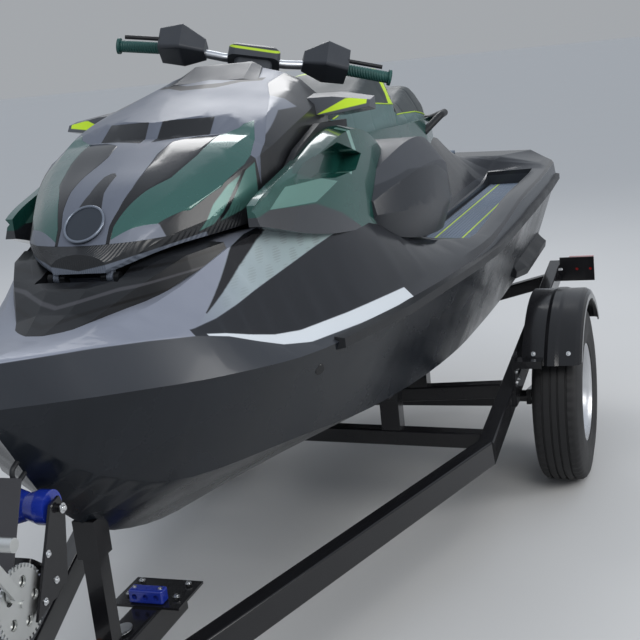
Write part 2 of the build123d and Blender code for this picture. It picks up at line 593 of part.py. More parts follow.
# Grab strap behind the seat
strap_path = FilletPolyline((212, 2560, 1205), (265, 2640, 1260), (262, 2720, 1262), (180, 2830, 1235),
                            (-180, 2830, 1235), (-262, 2720, 1262), (-265, 2640, 1260), (-212, 2560, 1205), radius=30)
strap_start = Plane(origin=strap_path @ 0, z_dir=strap_path % 0)
grab = sweep(strap_start * Circle(14), path=strap_path)
grab = cut(grab, seat_base, deck_block)
save("grab_handle", biggest(grab))

# Deck fittings: accessory anchors, stern eyes and bow eye
anchors = []
for x, y in ANCHOR_PLACES:
    puck = rod((x, y, ANCHOR_TOP_Z - 40), (x, y, ANCHOR_TOP_Z), ANCHOR_D)
    bore = rod((x, y, ANCHOR_TOP_Z - ANCHOR_DEPTH), (x, y, ANCHOR_TOP_Z + 1), ANCHOR_BORE_D)
    anchors.append(biggest(cut(puck, bore, deck_block)))
eye_path = FilletPolyline((0, 70, 874), (0, 26, 856), (0, 40, 826), (0, 90, 846), radius=14)
bow_eye = sweep(Plane(origin=eye_path @ 0, z_dir=eye_path % 0) * Circle(5), path=eye_path) - hull_block
save("deck_fittings", *anchors, biggest(bow_eye))

# Jet pump: housing with stator, impeller on its shaft, steering nozzle and reverse gate
pump_r = PUMP_BORE / 2
housing = rod((0, PUMP_FRONT, PUMP_AXIS_Z), (0, PUMP_REAR, PUMP_AXIS_Z), PUMP_BORE + 2 * PUMP_WALL)
housing = housing - rod((0, PUMP_FRONT, PUMP_AXIS_Z), (0, PUMP_REAR, PUMP_AXIS_Z), PUMP_BORE)
cone_back = Plane(origin=(0, PUMP_REAR, PUMP_AXIS_Z), z_dir=(0, 1, 0))
outer_cone = loft([cone_back * Circle(pump_r + PUMP_WALL), cone_back.offset(50) * Circle(NOZZLE_BORE / 2 + 2)])
inner_cone = loft([cone_back * Circle(pump_r), cone_back.offset(50) * Circle(NOZZLE_BORE / 2 - 5)])
housing = housing + (outer_cone - inner_cone)
stator_hub = rod((0, PUMP_FRONT + 105, PUMP_AXIS_Z), (0, PUMP_REAR + 20, PUMP_AXIS_Z), 62)
housing = housing + stator_hub
for i in range(STATOR_VANES):
    vane = Rot(0, 360 * i / STATOR_VANES, 0) * (Pos(0, 0, pump_r / 2 + 14) * Rot(0, 0, 14) * Box(5, 80, pump_r - 26))
    housing = housing + Pos(0, PUMP_FRONT + 155, PUMP_AXIS_Z) * vane
flange = rod((0, PUMP_FRONT, PUMP_AXIS_Z), (0, PUMP_FRONT + 10, PUMP_AXIS_Z), TUNNEL_D)
housing = housing + (flange - rod((0, PUMP_FRONT, PUMP_AXIS_Z), (0, PUMP_FRONT + 10, PUMP_AXIS_Z), PUMP_BORE + 4))
shaft_bore = rod((0, PUMP_FRONT + 104, PUMP_AXIS_Z), (0, PUMP_FRONT + 165, PUMP_AXIS_Z), 25.6)
pump_body = housing - shaft_bore

blade_r = pump_r - IMPELLER_CLEARANCE
impeller = rod((0, PUMP_FRONT + 12, PUMP_AXIS_Z), (0, PUMP_FRONT + 96, PUMP_AXIS_Z), 52)
for i in range(IMPELLER_BLADES):
    roots = []
    for share in (0, 0.5, 1):
        plane = Plane(origin=(0, 0, 20 + (blade_r - 20) * share), x_dir=(1, 0, 0), z_dir=(0, 0, 1))
        roots.append(plane * (Rot(0, 0, 62 - 26 * share) * Rectangle(70 + 24 * share, 5)))
    blade = loft(roots)
    impeller = impeller + Pos(0, PUMP_FRONT + 54, PUMP_AXIS_Z) * Rot(0, 360 * i / IMPELLER_BLADES, 0) * blade
limit = rod((0, PUMP_FRONT + 10, PUMP_AXIS_Z), (0, PUMP_FRONT + 98, PUMP_AXIS_Z), 2 * blade_r)
impeller = impeller & limit
impeller = impeller + rod((0, PUMP_FRONT - 290, PUMP_AXIS_Z), (0, PUMP_FRONT + 155, PUMP_AXIS_Z), 25)
save("impeller", biggest(impeller))

NOZZLE_TURN = BAR_TURN * NOZZLE_RATIO
nozzle_turned = Pos(0, NOZZLE_PIVOT_Y, PUMP_AXIS_Z) * Rot(0, 0, -NOZZLE_TURN)
back = Plane(origin=(0, 0, 0), z_dir=(0, 1, 0))
nozzle_back = 2
shell = []
for radius, tip in ((NOZZLE_BACK_R, NOZZLE_BORE / 2), (NOZZLE_BACK_R - NOZZLE_WALL, NOZZLE_BORE / 2 - NOZZLE_WALL)):
    tube = extrude(back.offset(-nozzle_back) * Circle(radius), nozzle_back + NOZZLE_L * 0.4)
    shell.append(tube + loft([back.offset(NOZZLE_L * 0.4) * Circle(radius), back.offset(NOZZLE_L) * Circle(tip)]))
nozzle = shell[0] + rod((0, 0, -NOZZLE_BACK_R - 12), (0, 0, NOZZLE_BACK_R + 12), NOZZLE_PIN_D)
nozzle = nozzle - shell[1]
save("steering_nozzle", nozzle_turned * nozzle)

# Reverse gate, hinged on the housing's flanks and parked above the nozzle
GATE_PIVOT_Y, GATE_PIVOT_Z = PUMP_REAR - 20, PUMP_AXIS_Z + 60
GATE_IN, GATE_OUT, GATE_HALF = 196, 204, 96
gate_plane = Plane(origin=(-GATE_HALF, 0, 0), x_dir=(0, 1, 0), z_dir=(1, 0, 0))
gate_ring = gate_plane * (Circle(GATE_OUT) - Circle(GATE_IN))
gate = extrude(gate_ring, 2 * GATE_HALF)
gate = gate & extrude(gate_plane * make_face(Polyline((0, 0), (170, 400), (-80, 400), close=True)), 2 * GATE_HALF)
for x in (GATE_HALF, -GATE_HALF - 6):
    cheek_plane = Plane(origin=(x, 0, 0), x_dir=(0, 1, 0), z_dir=(1, 0, 0))
    cheek = cheek_plane * make_face(Polyline(
        (-14, -14), (16, -14), (GATE_OUT * 0.40, GATE_OUT * 0.915), (-GATE_OUT * 0.19, GATE_OUT * 0.98), close=True))
    gate = gate + extrude(cheek, 6)
for x in (-GATE_HALF - 6, GATE_HALF):
    gate = gate - Pos(x, 0, 0) * extrude(Plane.YZ * Circle(8.4), 6)
gate = Pos(0, GATE_PIVOT_Y, GATE_PIVOT_Z) * gate
save("reverse_gate", biggest(gate))
gate_lugs = []
for hand in (1, -1):
    lug = rod((hand * 60, GATE_PIVOT_Y, GATE_PIVOT_Z), (hand * (GATE_HALF - 2), GATE_PIVOT_Y, GATE_PIVOT_Z), 30)
    lug = lug + rod((hand * 60, GATE_PIVOT_Y, GATE_PIVOT_Z), (hand * (GATE_HALF + 10), GATE_PIVOT_Y, GATE_PIVOT_Z), 16)
    gate_lugs.append(biggest(cut(lug, rod((0, PUMP_FRONT, PUMP_AXIS_Z), (0, PUMP_REAR, PUMP_AXIS_Z), PUMP_BORE + 2 * PUMP_WALL), outer_cone)))
for lug in gate_lugs:
    pump_body = pump_body + lug
for hand in (1, -1):
    low, high = sorted((hand * (NOZZLE_BACK_R + 5), hand * (NOZZLE_BACK_R + 13)))
    arm = block(-14, 14, PUMP_REAR - 20, NOZZLE_PIVOT_Y + 14, PUMP_AXIS_Z + low, PUMP_AXIS_Z + high)
    arm = arm - rod((0, NOZZLE_PIVOT_Y, PUMP_AXIS_Z + low - 1), (0, NOZZLE_PIVOT_Y, PUMP_AXIS_Z + high + 1),
                    NOZZLE_PIN_D + 0.6)
    pump_body = pump_body + arm
save("pump_housing", biggest(pump_body))

# Ride plate and intake grate close the tunnel's underside
ride_plate = block(-150, 150, 2720, STERN - 20, 447, 454.5)
save("ride_plate", ride_plate)
grate = []
GRATE_BARS = 4
for i in range(GRATE_BARS):
    x = -66 + 44 * i
    grate.append(block(x - 5, x + 5, 2375, 2720, 447, 469))
frame_bar = block(-98, 98, 2360, 2385, 447, 454.5) + block(-98, 98, 2700, 2719, 447, 454.5)
for bar in grate:
    frame_bar = frame_bar + bar
save("intake_grate", biggest(frame_bar - hull_block))

# Sponsons on the hull sides
sponson_rings = []
for y, x, reach in ((2480, 556, 4), (2560, 556, 34), (3080, 552, 38), (3150, 548, 10)):
    s = between(STATION_COLUMNS, STATIONS, y)
    z = 690
    sx = s["chine_x"] + (s["bond_x"] - s["chine_x"]) * (z - s["chine_z"]) / (s["bond_z"] - s["chine_z"])
    sponson_rings.append(Wire.make_polygon([
        Vector(sx - 20, y, z - 34), Vector(sx + reach, y, z - 44), Vector(sx + reach + 4, y, z - 20),
        Vector(sx - 10, y, z + 26)], close=True))
sponson = biggest(skin(sponson_rings) - hull_block)
save("sponsons", *both(sponson))

# Trailer frame: tongue, two bent rails and the crossmembers
def rail_at(y):
    """Centre of the port rail at a station, as x and z."""
    front_y = -150
    if y <= RAIL_BEND_Y:
        share = (y - front_y) / (RAIL_BEND_Y - front_y)
        x0 = TONGUE_W / 2 + RAIL_W / 2
        return x0 + (RAIL_X - x0) * share, RAIL_FRONT_Z + (RAIL_BEND_Z - RAIL_FRONT_Z) * share
    share = (y - RAIL_BEND_Y) / (RAIL_REAR - RAIL_BEND_Y)
    return RAIL_X, RAIL_BEND_Z + (RAIL_REAR_Z - RAIL_BEND_Z) * share


def rail_point(y):
    x, z = rail_at(y)
    return x, y, z


rail_front = beam(rail_point(-150), rail_point(RAIL_BEND_Y), RAIL_W, RAIL_H)
rail_rear = beam((RAIL_X, RAIL_BEND_Y - 12, RAIL_BEND_Z), rail_point(RAIL_REAR), RAIL_W, RAIL_H)
tongue_z = TONGUE_TOP_Z - TONGUE_H / 2
tongue = beam((0, COUPLER_FRONT + 110, tongue_z), (0, TONGUE_REAR, tongue_z), TONGUE_W, TONGUE_H)
rail = biggest(rail_front + rail_rear - tongue)
save("rails", *both(rail))

# Crossmembers dip to the centre so that the keel clears them
CROSS_W, CROSS_H = 50, 50
CROSS_DIP_Z = 372


def vee_member(y, drop_x=0):
    """A crossmember from rail to rail, lowest on the centre line."""
    x, z = rail_at(y)
    end_x = x - RAIL_W / 2
    half = beam((0, y, CROSS_DIP_Z), (end_x + 20, y, z), CROSS_W, CROSS_H)
    member = half + mirror(half, about=Plane.YZ)
    keep = block(-end_x, end_x, y - CROSS_W, y + CROSS_W, 0, 900)
    return member & keep


cross_stations = (1560, 1920, 2980)
save("crossmembers", *[biggest(vee_member(y) - rail - mirror(rail, about=Plane.YZ)) for y in cross_stations])


def chine_plane_z(x, y):
    """Height of the hull bottom at a half-breadth."""
    s = between(STATION_COLUMNS, STATIONS, y)
    return s["keel_z"] + (s["chine_z"] - s["keel_z"]) * x / s["chine_x"]


# Bunks under the hull, on brackets that stand on the crossmembers
BUNK_GAP = 0.3
bunk_rings = []
for y in [BUNK_FRONT] + [v[0] for v in STATIONS if BUNK_FRONT < v[0] < BUNK_REAR] + [BUNK_REAR]:
    inner, outer = BUNK_X - BUNK_W / 2, BUNK_X + BUNK_W / 2
    z_in, z_out = chine_plane_z(inner, y), chine_plane_z(outer, y)
    bunk_rings.append(Wire.make_polygon([Vector(inner, y, z_in - BUNK_H), Vector(outer, y, z_out - BUNK_H),
                                         Vector(outer, y, z_out + 12), Vector(inner, y, z_in + 12)], close=True))
bunk = biggest(skin(bunk_rings) - Pos(0, 0, -BUNK_GAP) * hull_block)
bunk_z = chine_plane_z(BUNK_X, 2200) - BUNK_H
save("bunks", *both(bunk))
bracket_parts = []
members = [vee_member(y) for y in cross_stations]
for y, member in zip(cross_stations, members):
    x, z = rail_at(y)
    share = BUNK_X / x
    member_z = CROSS_DIP_Z + (z - CROSS_DIP_Z) * share
    piece = block(BUNK_X - 30, BUNK_X + 30, y + CROSS_W / 2, y + CROSS_W / 2 + 6, member_z - 30, bunk_z + 60)
    piece = piece + block(BUNK_X - 30, BUNK_X + 30, y - 22, y + CROSS_W / 2 + 6, member_z + 6, bunk_z + 60)
    piece = biggest(cut(piece, bunk, member, hull_block))
    bracket_parts += both(piece)

# Torsion axle under the rails
AXLE_Y, AXLE_Z, AXLE_T = 2050, 330, 60
ARM_X = RAIL_X + RAIL_W / 2 + 14
axle = beam((-RAIL_X + 10, AXLE_Y, AXLE_Z), (RAIL_X - 10, AXLE_Y, AXLE_Z), AXLE_T, AXLE_T)
wheel_z = TYRE_OD / 2
arm = beam((ARM_X, AXLE_Y - 24, AXLE_Z + 4), (ARM_X, WHEEL_Y + 26, wheel_z), 16, 52)
spindle_end = WHEEL_X + 34
spindle = rod((ARM_X, WHEEL_Y, wheel_z), (spindle_end, WHEEL_Y, wheel_z), SPINDLE_D)
for piece in both(arm + spindle + rod((RAIL_X - 20, AXLE_Y, AXLE_Z), (ARM_X, AXLE_Y, AXLE_Z), 40)):
    axle = axle + piece
hanger_z = rail_at(AXLE_Y)[1] - RAIL_H / 2
hanger = block(RAIL_X - 25, RAIL_X + 10, AXLE_Y - 90, AXLE_Y + 90, AXLE_Z + AXLE_T / 2, hanger_z + 30)
hanger = biggest(cut(hanger, rail, axle))
save("axle", biggest(cut(axle, rail)))
bracket_parts += both(hanger)

# Wheels: pressed rim with its hub, and the tyre
rim_r = RIM_D / 2
wheel_plane = Plane(origin=(WHEEL_X, WHEEL_Y, wheel_z), x_dir=(0, 1, 0), z_dir=(1, 0, 0))
half_w = TYRE_W / 2
rim_profile = Polyline(
    (-half_w + 12, rim_r - 2), (-half_w + 12, rim_r + 8), (-half_w + 17, rim_r + 8), (-half_w + 22, rim_r - 4),
    (-30, rim_r - 16), (24, rim_r - 16), (half_w - 22, rim_r - 4), (half_w - 17, rim_r + 8),
    (half_w - 12, rim_r + 8), (half_w - 12, rim_r - 2), (half_w - 24, rim_r - 12), (28, rim_r - 22),
    (-30, rim_r - 22), (-half_w + 24, rim_r - 12), close=True)
spin_axis = Axis((0, 0, 0), (1, 0, 0))
rim = revolve(make_face(rim_profile), spin_axis)
disc_profile = Polyline((18, rim_r - 20), (24, rim_r - 20), (36, 108), (22, 78), (22, 40), (16, 40), (16, 80), (29, 108),
                        close=True)
rim = rim + revolve(make_face(disc_profile), spin_axis)
SLOTS = 10
for i in range(SLOTS):
    slot = Rot(360 * i / SLOTS, 0, 0) * (Pos(30, 0, 118) * Rot(0, 90, 0) * extrude(SlotOverall(26, 13), 20, both=True))
    rim = rim - slot
hub = extrude(Plane.YZ.offset(-44) * Circle(HUB_D / 2), 60) + extrude(Plane.YZ.offset(14) * Circle(31), 32)
hub = hub + extrude(Plane.YZ.offset(6) * Circle(66), 9)
hub = hub - extrude(Plane.YZ.offset(-45) * Circle(SPINDLE_D / 2 + SPINDLE_GAP), 45 + 34 + 2)
wheel = rim + hub
for i in range(5):
    a = radians(72 * i + 36)
    wheel = wheel + Pos(22, 57 * cos(a), 57 * sin(a)) * Rot(0, 90, 0) * extrude(RegularPolygon(9.5, 6), 14)
tyre_r = TYRE_OD / 2
tyre_outline = [
    (-half_w + 20, rim_r - 1), (-half_w + 3, rim_r + 34), (-half_w, tyre_r - 66), (-half_w + 9, tyre_r - 20),
    (-half_w + 26, tyre_r - 2), (0, tyre_r), (half_w - 26, tyre_r - 2), (half_w - 9, tyre_r - 20),
    (half_w, tyre_r - 66), (half_w - 3, rim_r + 34), (half_w - 20, rim_r - 1)]
tyre = revolve(make_face(Polyline(*tyre_outline, close=True)), spin_axis) - rim
tyre = biggest(tyre)
for name, x in (("port", WHEEL_X), ("starboard", -WHEEL_X)):
    place = Pos(x, WHEEL_Y, wheel_z) * (Rot(0, 0, 0) if x > 0 else Rot(0, 0, 180))
    save(f"wheel_{name}", place * wheel)
    save(f"tyre_{name}", place * tyre)

# Fenders over the wheels, on plates bolted to the rails
fender_r = tyre_r + FENDER_GAP
fender_x0 = WHEEL_X - FENDER_W / 2
fender_x1 = fender_x0 + FENDER_W
FENDER_SKIRT, FENDER_ROUND, RIDGE_W, RIDGE_H = 38, 20, 24, 4
FENDER_END = 190
pressed = [
    (fender_x0, 0), (WHEEL_X - RIDGE_W, 0), (WHEEL_X - RIDGE_W / 2, RIDGE_H), (WHEEL_X + RIDGE_W / 2, RIDGE_H),
    (WHEEL_X + RIDGE_W, 0), (fender_x1 - FENDER_ROUND, 0), (fender_x1 - FENDER_ROUND / 3, -FENDER_ROUND / 3),
    (fender_x1, -FENDER_ROUND), (fender_x1, -FENDER_SKIRT)]
inside = [(min(x, fender_x1 - FENDER_T), rise - (FENDER_T if rise > -FENDER_ROUND else 0)) for x, rise in pressed]
outline = [(x, fender_r + FENDER_T + rise) for x, rise in pressed + inside[::-1]]
arch = revolve(make_face(Polyline(*outline, close=True)), spin_axis)
arch = arch - block(0, 2000, -1000, 1000, -1000, FENDER_END)
fender = Pos(0, WHEEL_Y, wheel_z) * arch
save("fenders", *both(biggest(fender)))
plates = []
x_in = RAIL_X + RAIL_W / 2
arch_r = fender_r + FENDER_T
wheel_well = rod((x_in + 8, WHEEL_Y, wheel_z), (x_in + 200, WHEEL_Y, wheel_z), 2 * arch_r)
end_reach = (arch_r ** 2 - FENDER_END ** 2) ** 0.5
for fore in (-1, 1):
    end_y = WHEEL_Y + fore * end_reach
    _, z = rail_at(end_y)
    upright = block(x_in, x_in + 8, end_y - 32, end_y + 32, z - 24, wheel_z + FENDER_END + 40)
    shelf = block(x_in, fender_x0 + 70, end_y - 32, end_y + 32, wheel_z + FENDER_END, wheel_z + FENDER_END + 24)
    plates += both(biggest(cut(upright + shelf, wheel_well)))
bracket_parts += plates

# Winch post, bow roller and winch
POST_TOP_Y, POST_TOP_Z = 40, 742
PLATE_X, PLATE_T = 58, 6
post = beam((0, POST_Y - 130, TONGUE_TOP_Z - 20), (0, POST_TOP_Y - 12, POST_TOP_Z - 70), 60, 60)
post = post - block(-100, 100, -2000, 500, 0, TONGUE_TOP_Z)
brace = block(-20, 20, 242, 282, TONGUE_TOP_Z, 572)
brace = brace + block(-26, 26, 234, 290, 572, 660) - hull_block
contact = between(STATION_COLUMNS, STATIONS, ROLLER_CONTACT_Y)
stem_grade = (between(STATION_COLUMNS, STATIONS, ROLLER_CONTACT_Y + 1)["keel_z"] - contact["keel_z"])
stem_out = Vector(0, stem_grade, -1).normalized() * (ROLLER_D / 2 + ROLLER_GAP)
roller_y, roller_z = ROLLER_CONTACT_Y + stem_out.Y, contact["keel_z"] + stem_out.Z
ears = []
for hand in (1, -1):
    ear = make_face(Polyline(
        (0, POST_TOP_Y - 95, POST_TOP_Z - 150), (0, POST_TOP_Y + 20, POST_TOP_Z - 120),
        (0, roller_y + 22, roller_z - 6), (0, roller_y + 8, roller_z + 22), (0, roller_y - 24, roller_z + 16), close=True))
    x0 = PLATE_X if hand > 0 else -PLATE_X - PLATE_T
    ears.append(Pos(x0, 0, 0) * extrude(ear, PLATE_T, dir=(1, 0, 0)))
spacer = block(-PLATE_X, PLATE_X, POST_TOP_Y - 36, POST_TOP_Y - 6, POST_TOP_Z - 140, POST_TOP_Z - 80)
post = post + ears[0] + ears[1] + spacer
pin = rod((-PLATE_X - PLATE_T - 8, roller_y, roller_z), (PLATE_X + PLATE_T + 8, roller_y, roller_z), ROLLER_PIN_D)
post = post + pin
save("winch_post", biggest(post), biggest(brace))
roller = rod((-ROLLER_L / 2, roller_y, roller_z), (ROLLER_L / 2, roller_y, roller_z), ROLLER_D)
roller = roller - rod((-60, roller_y, roller_z), (60, roller_y, roller_z), ROLLER_PIN_D + 0.8)
waist = Pos(0, roller_y, roller_z) * revolve(make_face(Polyline(
    (-30, 36), (0, 27), (30, 36), (30, 60), (-30, 60), close=True)), spin_axis)
roller = roller - waist
save("bow_roller", biggest(roller))

WINCH_Y, WINCH_Z = -76, 640
DRUM_PIN_D, CRANK_PIN_D = 14, 14
winch_side = []
for x0 in (40, -44):
    winch_side.append(block(x0, x0 + 4, WINCH_Y - 45, WINCH_Y + 60, WINCH_Z - 50, WINCH_Z + 48))
winch_frame = winch_side[0] + winch_side[1] + block(-44, 44, WINCH_Y - 45, WINCH_Y + 60, WINCH_Z - 54, WINCH_Z - 50)
crank_y, crank_z = WINCH_Y - 30, WINCH_Z + 36
for y, z, pin_d in ((WINCH_Y, WINCH_Z, DRUM_PIN_D), (crank_y, crank_z, CRANK_PIN_D)):
    winch_frame = winch_frame - rod((-60, y, z), (60, y, z), pin_d + 0.6)
winch_frame = winch_frame - post
tooth_depth = 7
gear_r = GEAR_D / 2
gear = Circle(gear_r - tooth_depth)
for i in range(GEAR_TEETH):
    gear += Rot(0, 0, 360 * i / GEAR_TEETH) * (Pos(gear_r - tooth_depth / 2 - 0.5, 0) * Rectangle(tooth_depth + 1, 6))
for i in range(5):
    gear -= Rot(0, 0, 72 * i) * (Pos(42, 0) * Circle(11))
gear = extrude(Plane.YZ.offset(46) * gear, 6)
drum = rod((-39, 0, 0), (39, 0, 0), 40)
axle_pin = rod((-50, 0, 0), (56, 0, 0), DRUM_PIN_D)
gear = Pos(0, WINCH_Y, WINCH_Z) * (gear + drum + axle_pin)
save("winch_gear", biggest(gear))
CRANK_L = 190
crank = rod((-50, crank_y, crank_z), (70, crank_y, crank_z), CRANK_PIN_D)
crank = crank + rod((54, crank_y, crank_z), (62, crank_y, crank_z), 30)
crank = crank + beam((66, crank_y, crank_z), (66, crank_y - CRANK_L * 0.5, crank_z + CRANK_L * 0.8), 8, 24)
crank = crank + rod((66, crank_y - CRANK_L * 0.47, crank_z + CRANK_L * 0.76), (150, crank_y - CRANK_L * 0.47, crank_z + CRANK_L * 0.76), 26)
save("winch_frame", biggest(winch_frame))
save("winch_crank", biggest(cut(crank, gear)))

# Winch strap, from the drum to the bow eye
strap = beam((0, WINCH_Y + 12, WINCH_Z + 20), (0, 24, 846), 50, 3)
strap = biggest(cut(strap, gear, post, bow_eye, hull_block))
save("winch_strap", strap)

# Coupler on the tongue's front end
coupler = block(-42, 42, COUPLER_FRONT + 108, COUPLER_FRONT + 250, TONGUE_TOP_Z, TONGUE_TOP_Z + 6)
nose = Pos(0, COUPLER_FRONT + 42, TONGUE_TOP_Z - 24) * extrude(Circle(42), 34)
nose = nose + block(-42, 42, COUPLER_FRONT + 42, COUPLER_FRONT + 110, TONGUE_TOP_Z - 24, TONGUE_TOP_Z + 10)
socket = Pos(0, COUPLER_FRONT + 42, TONGUE_TOP_Z - 30) * (extrude(Circle(26), 8) + Pos(0, 0, 8) * Sphere(26))
coupler = coupler + nose - socket
latch = block(-16, 16, COUPLER_FRONT + 80, COUPLER_FRONT + 190, TONGUE_TOP_Z + 10, TONGUE_TOP_Z + 22)
coupler = coupler + latch
save("coupler", biggest(cut(coupler, tongue)))

# Swing-up jack on the tongue's port side
mount_plate = block(TONGUE_W / 2, TONGUE_W / 2 + 8, JACK_Y - 60, JACK_Y + 60, TONGUE_TOP_Z - TONGUE_H, TONGUE_TOP_Z)
pivot_pin = rod((TONGUE_W / 2, JACK_Y, tongue_z), (JACK_X + 2, JACK_Y, tongue_z), 28)
PAD_W, PAD_L, PAD_H, PAD_Y = 88, 32, 34, 450
gusset = block(-PAD_W, PAD_W, PAD_Y - 24, TONGUE_REAR, TONGUE_TOP_Z - 1, TONGUE_TOP_Z + 5)
for x in (-62, 62):
    for y in (PAD_Y + 20, TONGUE_REAR - 25):
        gusset = gusset - rod((x, y, TONGUE_TOP_Z - 2), (x, y, TONGUE_TOP_Z + 6), 11)
tongue_body = biggest(tongue + mount_plate + pivot_pin + gusset)
save("tongue", tongue_body)
pad_low = TONGUE_TOP_Z + 5
keel_pad = fillet(block(-PAD_W / 2, PAD_W / 2, PAD_Y - PAD_L / 2, PAD_Y + PAD_L / 2, pad_low, pad_low + PAD_H).edges(), 5)
for x in (-28, 0, 28):
    keel_pad = keel_pad - rod((x, PAD_Y - PAD_L / 2 - 1, pad_low + PAD_H / 2), (x, PAD_Y - PAD_L / 2 + 9, pad_low + PAD_H / 2), 14)
save("keel_pad", keel_pad)
jack = rod((JACK_X + 12, JACK_Y, 130), (JACK_X + 12, JACK_Y, 640), JACK_TUBE_D)
jack = jack + rod((JACK_X + 12, JACK_Y, 8), (JACK_X + 12, JACK_Y, 140), 44)
jack = jack + rod((JACK_X + 12, JACK_Y, 0), (JACK_X + 12, JACK_Y, 8), 150)
jack = jack + rod((TONGUE_W / 2 + 9, JACK_Y, tongue_z), (JACK_X, JACK_Y, tongue_z), 60)
jack = jack - rod((0, JACK_Y, tongue_z), (JACK_X + 2.5, JACK_Y, tongue_z), 28.8)
jack = jack + rod((JACK_X + 12, JACK_Y, 652), (JACK_X + 12, JACK_Y - 150, 660), 14)
jack = jack + rod((JACK_X + 12, JACK_Y, 636), (JACK_X + 12, JACK_Y, 664), 24)
jack = jack + rod((JACK_X + 12, JACK_Y - 150, 650), (JACK_X + 12, JACK_Y - 150, 730), 24)
save("tongue_jack", biggest(jack))

# Tail lamps and their brackets at the rails' rear ends
lamp_parts, lamp_plates = [], []
_, rear_z = rail_at(RAIL_REAR)
plate_y = RAIL_REAR - 60
lamp_plate = block(RAIL_X + RAIL_W / 2, RAIL_X + 165, plate_y, plate_y + 5, rear_z - 40, rear_z + 60)
for x in (30, 95, 150):
    hole_z = rear_z + 10
    lamp_plate = lamp_plate - rod((RAIL_X + x, plate_y - 1, hole_z), (RAIL_X + x, plate_y + 6, hole_z), 12)
lamp_plate = biggest(lamp_plate - rail)
lamp = block(RAIL_X + 60, RAIL_X + 160, plate_y + 5, plate_y + 55, rear_z - 34, rear_z + 54)
save("frame_brackets", *bracket_parts, *both(lamp_plate))
save("tail_lamps", *both(lamp))
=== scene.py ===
import math

import bmesh
import bpy
from mathutils import Matrix, Vector
from mathutils.bvhtree import BVHTree


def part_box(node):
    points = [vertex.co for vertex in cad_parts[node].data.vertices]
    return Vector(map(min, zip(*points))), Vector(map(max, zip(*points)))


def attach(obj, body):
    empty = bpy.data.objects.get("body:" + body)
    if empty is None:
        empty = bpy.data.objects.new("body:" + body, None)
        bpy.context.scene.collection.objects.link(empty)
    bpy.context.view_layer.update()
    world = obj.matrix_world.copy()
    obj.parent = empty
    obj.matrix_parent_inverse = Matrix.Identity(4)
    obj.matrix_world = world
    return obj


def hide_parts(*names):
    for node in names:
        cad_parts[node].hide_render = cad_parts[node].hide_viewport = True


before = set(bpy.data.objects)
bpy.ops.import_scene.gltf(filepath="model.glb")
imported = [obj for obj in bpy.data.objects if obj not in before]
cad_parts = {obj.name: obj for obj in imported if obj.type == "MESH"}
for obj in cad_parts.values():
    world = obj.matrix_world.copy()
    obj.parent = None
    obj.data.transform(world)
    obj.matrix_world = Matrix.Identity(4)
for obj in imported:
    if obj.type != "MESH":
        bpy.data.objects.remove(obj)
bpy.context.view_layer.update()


# Hull: the lower shell, one composite moulding in satin black with a faint orange peel from its mould.
# Its faired surface is shaded smooth, and the chines stay sharp.
def node_group(name, tree, takes, gives):
    """An empty node group with named sockets: the group, its nodes and links, and its start and end."""
    group = bpy.data.node_groups.new(name, tree)
    for in_out, sockets in (("INPUT", takes), ("OUTPUT", gives)):
        for label, kind in sockets:
            group.interface.new_socket(label, in_out=in_out, socket_type=f"NodeSocket{kind}")
    nodes = group.nodes
    return group, nodes, group.links, nodes.new("NodeGroupInput"), nodes.new("NodeGroupOutput")


def join(links, *pairs):
    """Links each output to the input beside it."""
    for start, end in pairs:
        links.new(start, end)


def shading_group():
    """Geometry nodes that shade a mesh smooth over each edge flatter than an angle."""
    group, nodes, links, entry, leave = node_group(
        "smooth_to_angle", "GeometryNodeTree", [("Geometry", "Geometry"), ("Angle", "Float")],
        [("Geometry", "Geometry")])
    bend, flat = nodes.new("GeometryNodeInputMeshEdgeAngle"), nodes.new("FunctionNodeCompare")
    edges, faces = nodes.new("GeometryNodeSetShadeSmooth"), nodes.new("GeometryNodeSetShadeSmooth")
    flat.operation, edges.domain, faces.domain = "LESS_EQUAL", "EDGE", "FACE"
    join(links, (bend.outputs["Unsigned Angle"], flat.inputs["A"]),
         (entry.outputs["Angle"], flat.inputs["B"]), (entry.outputs["Geometry"], edges.inputs["Geometry"]),
         (flat.outputs[0], edges.inputs["Shade Smooth"]),
         (edges.outputs["Geometry"], faces.inputs["Geometry"]),
         (faces.outputs["Geometry"], leave.inputs["Geometry"]))
    return group


SMOOTH = shading_group()
SEAM_GAP, ROUNDED_FROM, FLAT_WEIGHT = 0.00002, 35, 60


def smooth(obj, angle=28, bevel=0.0):
    """Welds split seams, rounds hard edges by a small radius and shades smooth up to an angle in degrees."""
    obj.modifiers.new("weld", "WELD").merge_threshold = SEAM_GAP
    if bevel:
        edge = obj.modifiers.new("edge", "BEVEL")
        edge.width, edge.segments, edge.limit_method = bevel, 2, "ANGLE"
        edge.angle_limit = math.radians(ROUNDED_FROM)
    shade = obj.modifiers.new("shade", "NODES")
    shade.node_group = SMOOTH
    shade["Socket_1"] = math.radians(angle)
    even = obj.modifiers.new("even", "WEIGHTED_NORMAL")
    even.keep_sharp, even.weight = True, FLAT_WEIGHT
    return obj


# The A, B and Result sockets of a Mix node, for colours and for numbers
MIX_COLOR, MIX_NUMBER = (6, 7, 2), (2, 3, 0)


